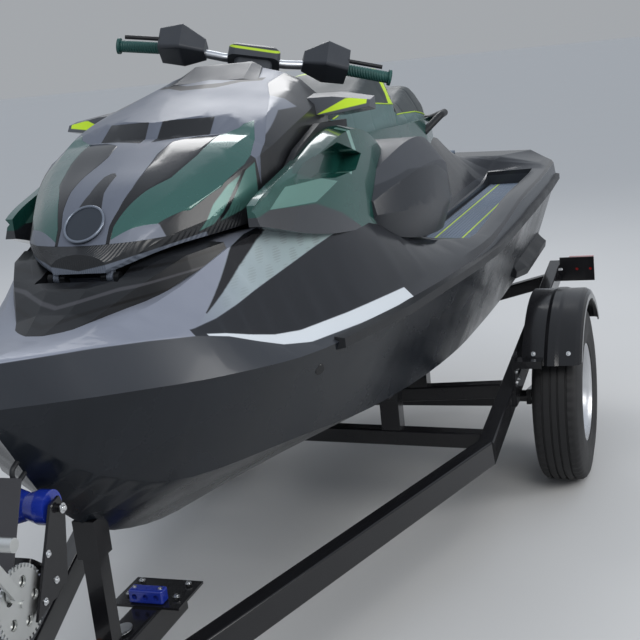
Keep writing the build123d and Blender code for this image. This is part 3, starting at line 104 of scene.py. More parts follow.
def mottle_group():
    """Colour, gloss and height that vary with a broad and a fine noise over the surface."""
    group, nodes, links, entry, leave = node_group(
        "mottle", "ShaderNodeTree",
        [("Light", "Color"), ("Dark", "Color"), ("Scale", "Float"), ("Fine", "Float"), ("Rough low", "Float"),
         ("Rough high", "Float")],
        [("Color", "Color"), ("Roughness", "Float"), ("Height", "Float")])
    coord, mix, rough = [nodes.new(f"ShaderNode{kind}") for kind in ("TexCoord", "Mix", "MapRange")]
    broad, fine = nodes.new("ShaderNodeTexNoise"), nodes.new("ShaderNodeTexNoise")
    broad.inputs["Detail"].default_value, fine.inputs["Detail"].default_value = 5, 2
    mix.data_type = "RGBA"
    dark, light, result = MIX_COLOR
    rough.inputs["From Min"].default_value, rough.inputs["From Max"].default_value = 0.35, 0.65
    join(links, (coord.outputs["Object"], broad.inputs["Vector"]),
         (coord.outputs["Object"], fine.inputs["Vector"]), (entry.outputs["Scale"], broad.inputs["Scale"]),
         (entry.outputs["Fine"], fine.inputs["Scale"]), (broad.outputs["Fac"], mix.inputs["Factor"]),
         (entry.outputs["Dark"], mix.inputs[dark]), (entry.outputs["Light"], mix.inputs[light]),
         (broad.outputs["Fac"], rough.inputs["Value"]),
         (entry.outputs["Rough low"], rough.inputs["To Min"]),
         (entry.outputs["Rough high"], rough.inputs["To Max"]),
         (mix.outputs[result], leave.inputs["Color"]), (rough.outputs["Result"], leave.inputs["Roughness"]),
         (fine.outputs["Fac"], leave.inputs["Height"]))
    return group


MOTTLE = mottle_group()


def finish(name, light, dark, rough=(0.3, 0.4), metallic=0.0, coat=0.0, scale=6.0, fine=700.0, bump=0.05,
           depth=0.0006, sheen=0.0, gleam=0.5):
    """A procedural material: mottled colour and gloss over a fine bumped grain."""
    mat = bpy.data.materials.new(name)
    mat.use_nodes = True
    nodes, links = mat.node_tree.nodes, mat.node_tree.links
    shader = nodes["Principled BSDF"]
    mottle, relief = nodes.new("ShaderNodeGroup"), nodes.new("ShaderNodeBump")
    mottle.node_tree, relief.name = MOTTLE, "relief"
    for label, value in (("Light", (*light, 1)), ("Dark", (*dark, 1)), ("Scale", scale), ("Fine", fine),
                         ("Rough low", rough[0]), ("Rough high", rough[1])):
        mottle.inputs[label].default_value = value
    relief.inputs["Strength"].default_value, relief.inputs["Distance"].default_value = bump, depth
    join(links, (mottle.outputs["Color"], shader.inputs["Base Color"]),
         (mottle.outputs["Roughness"], shader.inputs["Roughness"]),
         (mottle.outputs["Height"], relief.inputs["Height"]),
         (relief.outputs["Normal"], shader.inputs["Normal"]))
    for label, value in (("Metallic", metallic), ("Coat Weight", coat), ("Coat Roughness", 0.06),
                         ("Sheen Weight", sheen), ("Specular IOR Level", gleam)):
        shader.inputs[label].default_value = value
    return mat


def dress(node, mat, angle=28, bevel=0.0):
    """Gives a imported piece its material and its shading."""
    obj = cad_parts[node]
    obj.data.materials.clear()
    obj.data.materials.append(mat)
    return smooth(obj, angle, bevel)


hull_black = finish("hull_satin", (0.013, 0.016, 0.022), (0.006, 0.008, 0.011), (0.20, 0.32), bump=0.08,
                    gleam=0.28)
dress("hull", hull_black)


# Deck: the upper shell, bonded to the hull and sprayed through masks. It is silver pearl at the bow with a
# pale green dotted wedge each side, then gloss charcoal on the flank, with a painted reflection of the sky
# as a white band on the ledge facet and a satin charcoal band above the bond line.
def place_group():
    """Distance from the middle plane, station along the craft and height."""
    group, nodes, links, _, leave = node_group(
        "place", "ShaderNodeTree", [], [("Side", "Float"), ("Station", "Float"), ("Height", "Float")])
    coord, split, side = [nodes.new(f"ShaderNode{kind}") for kind in ("TexCoord", "SeparateXYZ", "Math")]
    side.operation = "ABSOLUTE"
    join(links, (coord.outputs["Object"], split.inputs[0]), (split.outputs["X"], side.inputs[0]),
         (side.outputs[0], leave.inputs["Side"]), (split.outputs["Y"], leave.inputs["Station"]),
         (split.outputs["Z"], leave.inputs["Height"]))
    return group


def edge_group():
    """Two masks, 1 over a line and 1 under it, with a soft edge between them."""
    group, nodes, links, entry, leave = node_group(
        "masked_edge", "ShaderNodeTree", [("Value", "Float"), ("Line", "Float"), ("Soft", "Float")],
        [("Over", "Float"), ("Under", "Float")])
    gap, low, under = [nodes.new("ShaderNodeMath") for _ in range(3)]
    gap.operation, low.operation, under.operation = "SUBTRACT", "MULTIPLY", "SUBTRACT"
    low.inputs[1].default_value, under.inputs[0].default_value = -1, 1
    ramp = nodes.new("ShaderNodeMapRange")
    join(links, (entry.outputs["Value"], gap.inputs[0]), (entry.outputs["Line"], gap.inputs[1]),
         (entry.outputs["Soft"], low.inputs[0]), (low.outputs[0], ramp.inputs["From Min"]),
         (entry.outputs["Soft"], ramp.inputs["From Max"]), (gap.outputs[0], ramp.inputs["Value"]),
         (ramp.outputs["Result"], under.inputs[1]), (ramp.outputs["Result"], leave.inputs["Over"]),
         (under.outputs[0], leave.inputs["Under"]))
    return group


PLACE, EDGE = place_group(), edge_group()


class Masking:
    """Masks on one material, set by lines and outlines in the craft's coordinates, and the paint in them."""

    def __init__(self, mat):
        self.nodes, self.links = mat.node_tree.nodes, mat.node_tree.links
        self.shader = self.nodes["Principled BSDF"]
        place = self.group(PLACE)
        self.side, self.station, self.height = [place.outputs[label]
                                                for label in ("Side", "Station", "Height")]

    def group(self, tree):
        """One use of a node group."""
        node = self.nodes.new("ShaderNodeGroup")
        node.node_tree = tree
        return node

    def line(self, along, points):
        """A value at each place along, in straight runs between (place, value) points."""
        places, values = [place for place, value in points], [value for place, value in points]
        low, high = min(values), max(values) + 1e-6
        into, back = self.nodes.new("ShaderNodeMapRange"), self.nodes.new("ShaderNodeMapRange")
        into.inputs["From Min"].default_value, into.inputs["From Max"].default_value = places[0], places[-1]
        back.inputs["To Min"].default_value, back.inputs["To Max"].default_value = low, high
        curve = self.nodes.new("ShaderNodeFloatCurve")
        steps = curve.mapping.curves[0].points
        for k, (place, value) in enumerate(points):
            spot = ((place - places[0]) / (places[-1] - places[0]), (value - low) / (high - low))
            if k in (0, len(points) - 1):
                steps[-1 if k else 0].location = spot
            else:
                steps.new(*spot)
        for step in steps:
            step.handle_type = "VECTOR"
        curve.mapping.update()
        join(self.links, (along, into.inputs["Value"]), (into.outputs["Result"], curve.inputs["Value"]),
             (curve.outputs["Value"], back.inputs["Value"]))
        return back.outputs["Result"]

    def edge(self, value, line, soft):
        """The two masks at a line, which is a number or a line of this material."""
        node = self.group(EDGE)
        node.inputs["Soft"].default_value = soft
        self.links.new(value, node.inputs["Value"])
        if isinstance(line, (int, float)):
            node.inputs["Line"].default_value = line
        else:
            self.links.new(line, node.inputs["Line"])
        return node.outputs

    def over(self, value, line, soft=0.001):
        """1 where the value is over the line, 0 below it."""
        return self.edge(value, line, soft)["Over"]

    def under(self, value, line, soft=0.001):
        """1 where the value is under the line, 0 above it."""
        return self.edge(value, line, soft)["Under"]

    def all_of(self, masks):
        """1 where every mask is 1."""
        result = masks[0]
        for mask in masks[1:]:
            product = self.nodes.new("ShaderNodeMath")
            product.operation = "MULTIPLY"
            join(self.links, (result, product.inputs[0]), (mask, product.inputs[1]))
            result = product.outputs[0]
        return result

    def inside(self, across, along, corners, soft=0.0012):
        """1 inside a convex outline given clockwise in two coordinates, 0 outside it."""
        flat = self.nodes.new("ShaderNodeCombineXYZ")
        join(self.links, (across, flat.inputs[0]), (along, flat.inputs[1]))
        masks = []
        for (x0, y0), (x1, y1) in zip(corners, corners[1:] + corners[:1]):
            inward = Vector((y1 - y0, x0 - x1, 0)).normalized()
            depth = self.nodes.new("ShaderNodeVectorMath")
            depth.operation = "DOT_PRODUCT"
            depth.inputs[1].default_value = inward
            self.links.new(flat.outputs[0], depth.inputs[0])
            masks.append(self.over(depth.outputs["Value"], inward.x * x0 + inward.y * y0, soft))
        return self.all_of(masks)

    def paint(self, color, masks, rough=None, metallic=None):
        """Paints where every mask is 1, over what the material has so far."""
        mask = self.all_of(masks)
        for label, value in (("Base Color", (*color, 1)), ("Roughness", rough), ("Metallic", metallic)):
            if value is None:
                continue
            socket = self.shader.inputs[label]
            mix = self.nodes.new("ShaderNodeMix")
            mix.data_type = "RGBA" if label == "Base Color" else "FLOAT"
            before, painted, result = MIX_COLOR if label == "Base Color" else MIX_NUMBER
            self.links.new(mask, mix.inputs["Factor"])
            if socket.is_linked:
                self.links.new(socket.links[0].from_socket, mix.inputs[before])
            else:
                mix.inputs[before].default_value = socket.default_value
            mix.inputs[painted].default_value = value
            self.links.new(mix.outputs[result], socket)


deck_paint = finish("deck_pearl", (0.250, 0.270, 0.325), (0.190, 0.206, 0.255), (0.36, 0.46), metallic=0.3,
                    coat=0.12, fine=2400, bump=0.03, gleam=0.35)
# Columns: station, side line, ledge line, crease line
DECK_LINES = (
    (-1.0625, 1.076, 1.078, 1.080), (-0.9125, 1.062, 1.064, 1.067), (-0.8125, 1.048, 1.050, 1.053),
    (-0.7125, 1.030, 1.033, 1.044), (-0.6425, 1.008, 1.015, 1.048), (-0.5725, 0.977, 0.992, 1.059),
    (-0.5025, 0.949, 0.972, 1.073), (-0.4175, 0.930, 0.958, 1.087), (-0.2425, 0.924, 0.953, 1.114),
    (-0.1525, 0.922, 0.952, 1.125), (-0.0625, 0.920, 0.950, 1.130), (0.1875, 0.916, 0.941, 1.072),
    (0.4375, 0.914, 0.936, 0.990), (0.7375, 0.925, 0.940, 0.948), (1.1875, 0.969, 0.978, 0.982),
    (2.1925, 0.974, 0.986, 1.000),
)
BOW_END, WEDGE_START, WEDGE_END, REFLECTION_START, REFLECTION_END = -0.72, -0.652, -0.33, -0.69, 0.03
TEAL, DOT_TEAL, WEDGE_BLACK = (0.30, 0.40, 0.385), (0.20, 0.235, 0.235), (0.012, 0.012, 0.014)
CHARCOAL, LEDGE_REFLECTION_WHITE, BAND_CHARCOAL = (0.020, 0.022, 0.027), (0.62, 0.66, 0.70), (0.030, 0.034, 0.042)
DOT_CELLS, DOT_UNEVEN, DOT_R, DOT_SOFT = 62, 0.05, 0.36, 0.03
deck = Masking(deck_paint)
side_line, ledge_line, crease_line = [
    deck.line(deck.station, [(row[0], row[column]) for row in DECK_LINES]) for column in (1, 2, 3)]
above_crease = deck.over(deck.height, crease_line)
wedge_x = deck.line(deck.station, [(-0.70, 0.262), (WEDGE_START, 0.262), (-0.39, 0.266)])
wedge_far_x = deck.line(deck.station, [(-0.70, 0.262), (WEDGE_START, 0.264), (-0.39, 0.298)])
fade = deck.line(deck.station, [(-0.70, 0.0), (-0.55, 0.35), (-0.15, 0.8), (0.0, 0.9)])
dots = deck.nodes.new("ShaderNodeTexVoronoi")
dots.inputs["Scale"].default_value, dots.inputs["Randomness"].default_value = DOT_CELLS, DOT_UNEVEN
teal_zone = [above_crease, deck.over(deck.side, wedge_x), fade]
deck.paint(TEAL, teal_zone, 0.34)
deck.paint(DOT_TEAL, teal_zone + [deck.under(dots.outputs["Distance"], DOT_R, DOT_SOFT)])
deck.paint(WEDGE_BLACK, [above_crease, deck.over(deck.side, wedge_x), deck.under(deck.side, wedge_far_x),
                         deck.over(deck.station, WEDGE_START), deck.under(deck.station, WEDGE_END)], 0.1, 0.0)
deck.paint(CHARCOAL, [deck.under(deck.height, crease_line), deck.over(deck.station, BOW_END)], 0.09, 0.25)
aft_edge = deck.line(deck.height, [(0.9, -0.13), (1.13, -0.13), (1.19, -0.36), (1.3, -0.36)])
deck.paint(CHARCOAL, [deck.over(deck.station, aft_edge)], 0.16, 0.2)
# Painted reflection: a white band where the tilted gloss ledge facet mirrors the sky.
ledge_reflection = [deck.over(deck.height, side_line), deck.under(deck.height, ledge_line),
          deck.over(deck.station, REFLECTION_START), deck.under(deck.station, REFLECTION_END)]
deck.paint(LEDGE_REFLECTION_WHITE, ledge_reflection, 0.2, 0.1)
deck.paint(BAND_CHARCOAL, [deck.under(deck.height, side_line)], 0.28, 0.15)
dress("deck", deck_paint, 22)

# Shroud, glovebox lid, rub rails, sponsons, grab handle, levers and deck fittings: black plastic, injection
# moulded against a fine leather grain and screwed to the shells.
black_grain = finish("black_grain", (0.017, 0.018, 0.021), (0.009, 0.010, 0.012), (0.36, 0.5), bump=0.22,
                     fine=1400, gleam=0.3)
for node in ("rub_rails", "sponsons", "grab_handle", "glovebox_lid", "hand_levers", "deck_fittings"):
    dress(node, black_grain)
dress("shroud", black_grain, 28, 0.002)

# Steering column, hand controls and gauge pod: dark grey grained plastic mouldings with softly rounded edges.
# The controls are clamped to the bar, and the pod is screwed to the rear of the hood.
GREY_LIGHT, GREY_DARK = (0.046, 0.051, 0.061), (0.030, 0.034, 0.041)
dark_grain = finish("dark_grey_grain", GREY_LIGHT, GREY_DARK, (0.34, 0.46), bump=0.2, fine=1500, gleam=0.35)
for node in ("steering_column", "hand_controls"):
    dress(node, dark_grain, 28, 0.0018)
dress("gauge_pod", dark_grain, 30, 0.003)

# Bar cover: a dark grey pad clamped over the middle of the bar, with a lime line round it under its top edge.
# The line is painted in a plane that leans with the bar's turn.
PAD_LEAN, LINE_LOW, LINE_HIGH, LINE_LIME = (0.26, 0, 1), 1.5800, 1.5865, (0.45, 0.64, 0.03)
pad_paint = finish("bar_cover_grain", GREY_LIGHT, GREY_DARK, (0.34, 0.46), bump=0.2, fine=1500, gleam=0.35)
cover = Masking(pad_paint)
rise, spot = cover.nodes.new("ShaderNodeVectorMath"), cover.nodes.new("ShaderNodeTexCoord")
rise.operation = "DOT_PRODUCT"
rise.inputs[1].default_value = PAD_LEAN
cover.links.new(spot.outputs["Object"], rise.inputs[0])
cover.paint(LINE_LIME, [cover.over(rise.outputs["Value"], LINE_LOW),
                        cover.under(rise.outputs["Value"], LINE_HIGH)], 0.4)
dress("handlebar_pad", pad_paint, 28, 0.0018)

# Knee pods: hollow dark grey plastic mouldings beside the seat, clipped to the deck. They are matte on top,
# and painted shade makes them darker below the crease along their side.
pod_paint = finish("knee_pod_grain", (0.055, 0.060, 0.071), (0.038, 0.042, 0.050), (0.4, 0.5), bump=0.2,
                   fine=1500, gleam=0.35)
pod = Masking(pod_paint)
pod_crease = pod.line(pod.station, [(0.09, 1.190), (0.26, 1.222), (0.46, 1.205), (0.68, 1.130)])
# Painted shade: the facet below the crease is darkened, as if it faced away from the light.
pod.paint((0.026, 0.029, 0.035), [pod.under(pod.height, pod_crease)], 0.3)
dress("knee_pods", pod_paint, 26, 0.003)

# Bow fascia: the black plastic collar under the hood, pressed with stacked V ribs. Painted shade draws the
# grooves between the ribs as dark lines, and a painted highlight draws one pale line where a crest catches
# the light.
GROOVE_SHADE, CREST_HIGHLIGHT = 0.004, 0.045
fascia_paint = finish("fascia_black", (0.012, 0.013, 0.016), (0.007, 0.008, 0.009), (0.28, 0.38), bump=0.1,
                      gleam=0.25)
fascia = Masking(fascia_paint)
# Painted shade in two grooves and a painted highlight on the crest between them.
for z, light_and_shade_tone in ((1.158, GROOVE_SHADE), (1.132, CREST_HIGHLIGHT), (1.108, GROOVE_SHADE)):
    low = fascia.line(fascia.side, [(0.0, z - 0.020), (0.11, z), (0.26, z + 0.012)])
    high = fascia.line(fascia.side, [(0.0, z - 0.014), (0.11, z + 0.006), (0.26, z + 0.016)])
    fascia.paint((light_and_shade_tone, light_and_shade_tone, light_and_shade_tone * 1.15), [fascia.over(fascia.height, low),
                                             fascia.under(fascia.height, high)], 0.3)
dress("bow_fascia", fascia_paint, 28, 0.003)

# Hood centre: a silver-blue painted panel with two black windows in its step, painted shade along the shut
# line across its top and a dark inlay along its spine above the badge.
SHUT_LINE_SHADE, SLOT_FROM_Z, SLOT_HALF = (0.01, 0.01, 0.012), 1.44, 0.15
INLAY_START, INLAY_END = -0.612, -0.486
hood_silver = finish("hood_blue_grey", (0.145, 0.162, 0.203), (0.108, 0.122, 0.158), (0.40, 0.50),
                     metallic=0.2, coat=0.05, fine=2400, bump=0.03, gleam=0.3)
hood = Masking(hood_silver)
windows = [(0.014, -0.318), (0.018, -0.248), (0.140, -0.216), (0.146, -0.270)]
hood.paint((0.010, 0.011, 0.013), [hood.inside(hood.side, hood.station, windows)], 0.2, 0.0)
slot_front = hood.line(hood.side, [(0.0, 0.004), (0.05, 0.010), (0.149, 0.084)])
slot_rear = hood.line(hood.side, [(0.0, 0.046), (0.05, 0.052), (0.149, 0.116)])
# Painted shade: a dark band in the shut line between the panel and the visor.
hood.paint(SHUT_LINE_SHADE, [hood.over(hood.station, slot_front), hood.under(hood.station, slot_rear),
                       hood.under(hood.side, SLOT_HALF), hood.over(hood.height, SLOT_FROM_Z)], 0.5, 0.0)
inlay_half = hood.line(hood.station, [(INLAY_START, 0.030), (-0.57, 0.018), (-0.50, 0.015), (-0.485, 0.004)])
hood.paint((0.016, 0.017, 0.020), [hood.under(hood.side, inlay_half), hood.over(hood.station, INLAY_START),
                                   hood.under(hood.station, INLAY_END)], 0.25, 0.1)
dress("hood_centre", hood_silver, 24, 0.0015)

# Hood wings and seat base: plastic panels in deep green metallic under a thick clear coat, clipped to the
# hood and to the deck.
green = finish("green_metallic", (0.012, 0.094, 0.078), (0.006, 0.062, 0.051), (0.22, 0.32), metallic=0.3,
               coat=0.8, fine=2600, bump=0.02)
dress("hood_wings", green, 24, 0.0015)

# Side fairings: green panels beside the shroud, each with a sunk pocket and a black skirt where it meets the
# deck. Painted light: a paler lit facet ahead of the pocket, painted shade in the pocket and painted
# highlights on the edges behind it.
LIT_FACET_GREEN, POCKET_SHADE_GREEN, EDGE_HIGHLIGHT_GREEN, SKIRT = (
    (0.105, 0.230, 0.200), (0.004, 0.042, 0.033), (0.20, 0.36, 0.32), (0.022, 0.024, 0.029))
OUTER_FACE_X = 0.36
fairing_paint = finish("fairing_green", (0.014, 0.088, 0.072), (0.007, 0.056, 0.045), (0.2, 0.3),
                       metallic=0.25, coat=0.8, fine=2600, bump=0.02)
fairing = Masking(fairing_paint)
facet = [(-0.405, 1.232), (-0.278, 1.292), (-0.172, 1.266), (-0.035, 1.262), (-0.215, 1.216)]
pocket = [(-0.278, 1.294), (-0.120, 1.382), (0.004, 1.368), (0.016, 1.320), (-0.020, 1.264), (-0.172, 1.268)]
# Painted light on the facet ahead of the pocket, and painted shade in the pocket.
for outline, light_and_shade_tone, rough in ((facet, LIT_FACET_GREEN, 0.3), (pocket, POCKET_SHADE_GREEN, 0.25)):
    fairing.paint(light_and_shade_tone, [fairing.inside(fairing.station, fairing.height, outline)], rough)
# Painted highlights along the pocket's rear edges.
for outline in ([(0.002, 1.368), (0.022, 1.368), (0.046, 1.305), (0.026, 1.305)],
                [(0.026, 1.305), (0.046, 1.305), (-0.010, 1.250), (-0.030, 1.262)]):
    fairing.paint(EDGE_HIGHLIGHT_GREEN, [fairing.inside(fairing.station, fairing.height, outline),
                               fairing.over(fairing.side, OUTER_FACE_X)], 0.3)
skirt_line = fairing.line(fairing.station, [(-0.45, 1.225), (-0.405, 1.232), (-0.215, 1.212), (-0.10, 1.17),
                                            (0.05, 1.09)])
fairing.paint(SKIRT, [fairing.under(fairing.height, skirt_line)], 0.25, 0.0)
dress("side_fairings", fairing_paint, 24, 0.002)
dress("seat_base", green)

# Hood scoops: gloss black plastic inserts between the centre and the wings, polished in the mould and
# clipped in. The drain covers on the flanks have the same finish.
gloss_black = finish("gloss_black", (0.009, 0.010, 0.012), (0.005, 0.005, 0.006), (0.08, 0.14), bump=0.01,
                     gleam=0.4)
dress("hood_scoops", gloss_black, 24, 0.0015)


# Hood side panels and chin: silver-blue panels with gloss black trim below, and a black chin with fine ribs
# and a silver lip. A teal fin crosses both, with a black slash through it.
def rib_group():
    """Fine parallel ribs: a wave across the surface, turned and spaced."""
    group, nodes, links, entry, leave = node_group(
        "ribs", "ShaderNodeTree", [("Turn", "Vector"), ("Scale", "Float")], [("Height", "Float")])
    coord, turn, wave = [nodes.new(f"ShaderNode{kind}") for kind in ("TexCoord", "Mapping", "TexWave")]
    join(links, (coord.outputs["Object"], turn.inputs["Vector"]),
         (entry.outputs["Turn"], turn.inputs["Rotation"]), (turn.outputs["Vector"], wave.inputs["Vector"]),
         (entry.outputs["Scale"], wave.inputs["Scale"]), (wave.outputs["Fac"], leave.inputs["Height"]))
    return group


RIBS = rib_group()
# The wave's length in metres at a scale of 1, and how strongly ribs shade
WAVE_LENGTH, RIB_STRENGTH = 0.314, 0.6


def add_ribs(mat, spacing, turn, depth):
    """Ribs on top of a material's grain."""
    nodes, links = mat.node_tree.nodes, mat.node_tree.links
    ribs, relief = nodes.new("ShaderNodeGroup"), nodes.new("ShaderNodeBump")
    ribs.node_tree = RIBS
    ribs.inputs["Turn"].default_value, ribs.inputs["Scale"].default_value = turn, WAVE_LENGTH / spacing
    relief.inputs["Strength"].default_value, relief.inputs["Distance"].default_value = RIB_STRENGTH, depth
    join(links, (ribs.outputs["Height"], relief.inputs["Height"]),
         (nodes["relief"].outputs["Normal"], relief.inputs["Normal"]),
         (relief.outputs["Normal"], nodes["Principled BSDF"].inputs["Normal"]))


FIN = [(-0.520, 1.212), (-0.475, 1.262), (-0.425, 1.296), (-0.330, 1.332), (-0.342, 1.262), (-0.395, 1.236)]
SLASH = [(-0.485, 1.216), (-0.372, 1.322), (-0.362, 1.322), (-0.470, 1.216)]
FIN_TEAL, TRIM_BLACK, REAR_BLACK, LIP_SILVER = (
    (0.060, 0.150, 0.132), (0.012, 0.013, 0.015), (0.014, 0.015, 0.017), (0.13, 0.15, 0.19))
TRIM_START, REAR_START, LIP_HALF = -0.60, -0.02, 0.215
sides_paint = finish("hood_side_panels", (0.165, 0.182, 0.222), (0.125, 0.139, 0.172), (0.36, 0.46),
                     metallic=0.2, coat=0.15, fine=2400, bump=0.03, gleam=0.4)
chin_black = finish("chin_ribbed", (0.016, 0.018, 0.021), (0.009, 0.010, 0.012), (0.25, 0.35), bump=0.1)
add_ribs(chin_black, 0.004, (0.0, 0.0, 0.7), 0.001)
sides, chin = Masking(sides_paint), Masking(chin_black)
trim_line = sides.line(sides.station, [(-0.65, 1.232), (-0.5145, 1.284), (-0.36, 1.345), (-0.25, 1.378),
                                       (-0.1, 1.43)])
trim = [sides.under(sides.height, trim_line), sides.over(sides.station, TRIM_START)]
sides.paint(TRIM_BLACK, trim, 0.32, 0.0)
for panel in (sides, chin):
    panel.paint(FIN_TEAL, [panel.inside(panel.station, panel.height, FIN)], 0.25, 0.2)
    panel.paint(TRIM_BLACK, [panel.inside(panel.station, panel.height, SLASH)], 0.15)
lip_line = chin.line(chin.side, [(0.0, 1.168), (0.07, 1.180), (0.15, 1.196), (0.22, 1.208), (0.27, 1.216)])
chin.paint(LIP_SILVER, [chin.under(chin.height, lip_line), chin.under(chin.side, LIP_HALF)], 0.3, 0.2)
sides.paint(REAR_BLACK, [sides.over(sides.station, REAR_START)], 0.3, 0.0)
dress("hood_sides", sides_paint, 24, 0.0015)
dress("hood_chin", chin_black, 24, 0.0015)


# Badge: a bare round dark disc on the nose of the hood, held by a thin blue-grey metal ring with a rolled
# section that is pressed over its edge.
def fit(obj, mat, body, angle):
    """Gives a new piece its material and shading, and the body that it rides on."""
    obj.data.materials.append(mat)
    smooth(obj, angle)
    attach(obj, body)
    return obj


RING_R, RING_WIRE_R, RING_LEAN, RING_PROUD = 0.0455, 0.0032, 45, 0.0035
badge_dark = finish("badge_dark", (0.030, 0.038, 0.052), (0.020, 0.026, 0.036), (0.3, 0.4), metallic=0.3,
                    bump=0.1)
dress("hood_badge", badge_dark, 30, 0.001)
badge_low, badge_high = [Vector(corner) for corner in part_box("hood_badge")]
bpy.ops.mesh.primitive_torus_add(
    major_radius=RING_R, minor_radius=RING_WIRE_R, major_segments=64, minor_segments=10,
    location=(badge_low + badge_high) / 2 + Vector((0, -RING_PROUD, RING_PROUD)),
    rotation=(math.radians(RING_LEAN), 0, 0))
badge_ring = bpy.context.object
badge_ring.name = "hood_badge_ring"
ring_metal = finish("ring_blue_grey", (0.20, 0.23, 0.28), (0.15, 0.17, 0.21), (0.22, 0.32), metallic=0.6)
fit(badge_ring, ring_metal, "hood", 60)

# Mirrors: dark moulded housings on the hood's shoulders, with a gloss black underside, a lime sliver
# towards the outer end of the front face, and a silvered glass pane set in the rear face.
FACING, SLIVER_START, SLIVER_END = -0.5, 0.300, 0.431
UNDERSIDE_BLACK, SLIVER_LIME = (0.012, 0.013, 0.015), (0.56, 0.80, 0.02)
housing = finish("mirror_housing", (0.075, 0.082, 0.094), (0.05, 0.055, 0.064), (0.3, 0.42), bump=0.15,
                 fine=1500)
shell = Masking(housing)
face, aim = shell.nodes.new("ShaderNodeNewGeometry"), shell.nodes.new("ShaderNodeSeparateXYZ")
shell.links.new(face.outputs["True Normal"], aim.inputs[0])
shell.paint(UNDERSIDE_BLACK, [shell.under(aim.outputs["Z"], FACING)], 0.06)
sliver_low = shell.line(shell.side, [(SLIVER_START, 1.4000), (0.432, 1.4180)])
sliver_high = shell.line(shell.side, [(SLIVER_START, 1.4005), (0.375, 1.4340), (0.432, 1.4380)])
shell.paint(SLIVER_LIME, [shell.under(aim.outputs["Y"], FACING), shell.over(shell.side, SLIVER_START),
                          shell.under(shell.side, SLIVER_END), shell.over(shell.height, sliver_low),
                          shell.under(shell.height, sliver_high)], 0.35)
dress("mirrors", housing, 30, 0.003)
mirror = finish("mirror_pane", (0.85, 0.87, 0.9), (0.8, 0.82, 0.85), (0.02, 0.04), metallic=1.0, bump=0.0)
dress("mirror_glass", mirror)

# Mats: sheets of closed-cell foam glued to the foot wells and the platform, routed with grooves, and inlaid
# with two lime lines along each well.
mat_foam = finish("mat_foam", (0.15, 0.19, 0.25), (0.10, 0.13, 0.18), (0.7, 0.85), bump=0.5, fine=500)
add_ribs(mat_foam, 0.012, (0.0, 0.0, 0.0), 0.003)
mats = Masking(mat_foam)
for inner, outer in ((0.405, 0.411), (0.497, 0.503)):
    mats.paint((0.45, 0.62, 0.03), [mats.over(mats.side, inner), mats.under(mats.side, outer)], 0.6)
dress("deck_mats", mat_foam)

# Grips and bar: ribbed green rubber sleeves pushed over the ends of a bent alloy tube, which is blasted and
# clear anodised.
grip = finish("grip_rubber", (0.012, 0.085, 0.075), (0.007, 0.058, 0.052), (0.5, 0.65), bump=0.4, fine=600)
add_ribs(grip, 0.007, (0.0, 0.0, 0.0), 0.002)
dress("hand_grips", grip)
alloy = finish("bar_alloy", (0.55, 0.57, 0.6), (0.45, 0.47, 0.5), (0.3, 0.4), metallic=1.0, bump=0.1)
dress("handlebar_tube", alloy)

# Drive: the pump housing, nozzle, gate, grate and plate are cast in alloy and machined at their bores,
# around a steel impeller. The engine block is closed in.
for node in ("engine_block", "pump_housing", "ride_plate", "intake_grate", "steering_nozzle", "reverse_gate",
             "impeller"):
    dress(node, alloy, 30, 0.001)

# Trailer frame and fenders: box tube and plate, welded and powder coated gloss black. The fenders are pressed
# from sheet, and the ridge along their crown stays sharp.
powder = finish("powder_black", (0.012, 0.012, 0.014), (0.007, 0.007, 0.008), (0.14, 0.24), coat=0.2,
                bump=0.1, fine=500, gleam=0.25)
for node in ("rails", "tongue", "crossmembers", "axle", "frame_brackets", "winch_post", "coupler"):
    dress(node, powder, 30, 0.001)
dress("fenders", powder, 16)

# Winch and jack: pressed and cut steel plate, gear and tube, dipped in zinc. The winch's strap is woven
# polyester, wound on the drum and hooked to the bow eye.
zinc = finish("zinc", (0.66, 0.67, 0.66), (0.5, 0.51, 0.5), (0.28, 0.42), metallic=1.0, bump=0.15, scale=18,
              fine=400)
for node in ("winch_frame", "winch_gear", "winch_crank", "tongue_jack"):
    dress(node, zinc, 30)
web = finish("strap_web", (0.05, 0.05, 0.055), (0.03, 0.03, 0.034), (0.7, 0.85), bump=0.5, fine=700)
dress("winch_strap", web)

# Bunks, bow roller and keel pad: what the hull lies on. The bunks are boards wrapped in black marine carpet,
# and the roller and pad are moulded in blue polyurethane.
carpet = finish("bunk_carpet", (0.045, 0.045, 0.05), (0.025, 0.025, 0.03), (0.9, 1.0), bump=0.9, fine=800,
                depth=0.002)
dress("bunks", carpet)
blue = finish("roller_blue", (0.012, 0.035, 0.33), (0.008, 0.022, 0.24), (0.2, 0.32), coat=0.3, bump=0.08)
for node in ("bow_roller", "keel_pad"):
    dress(node, blue)


# Tyres: moulded rubber with four lengthwise grooves, short cross cuts on the shoulder ribs and a raised
# ring on the sidewall. Each is held on its rim by its beads.
def placed(name, mesh):
    """A new object of this mesh, in the scene."""
    obj = bpy.data.objects.new(name, mesh)
    bpy.context.scene.collection.objects.link(obj)
    return obj


def lathe(name, profile, steps, centre, notched, notch):
    """A closed ring from (x, radius) points turned about an x axis, some cut in on every third step."""
    verts, faces, n = [], [], len(profile)
    for step in range(steps):
        turn = 2 * math.pi * step / steps
        for k, (x, radius) in enumerate(profile):
            cut = radius - (notch if k in notched and step % 3 == 0 else 0)
            verts.append((centre[0] + x, centre[1] + cut * math.cos(turn), centre[2] + cut * math.sin(turn)))
    for step in range(steps):
        here, after = step * n, (step + 1) % steps * n
        faces += [(here + k, here + (k + 1) % n, after + (k + 1) % n, after + k) for k in range(n)]
    mesh = bpy.data.meshes.new(name)
    mesh.from_pydata(verts, [], faces)
    return placed(name, mesh)


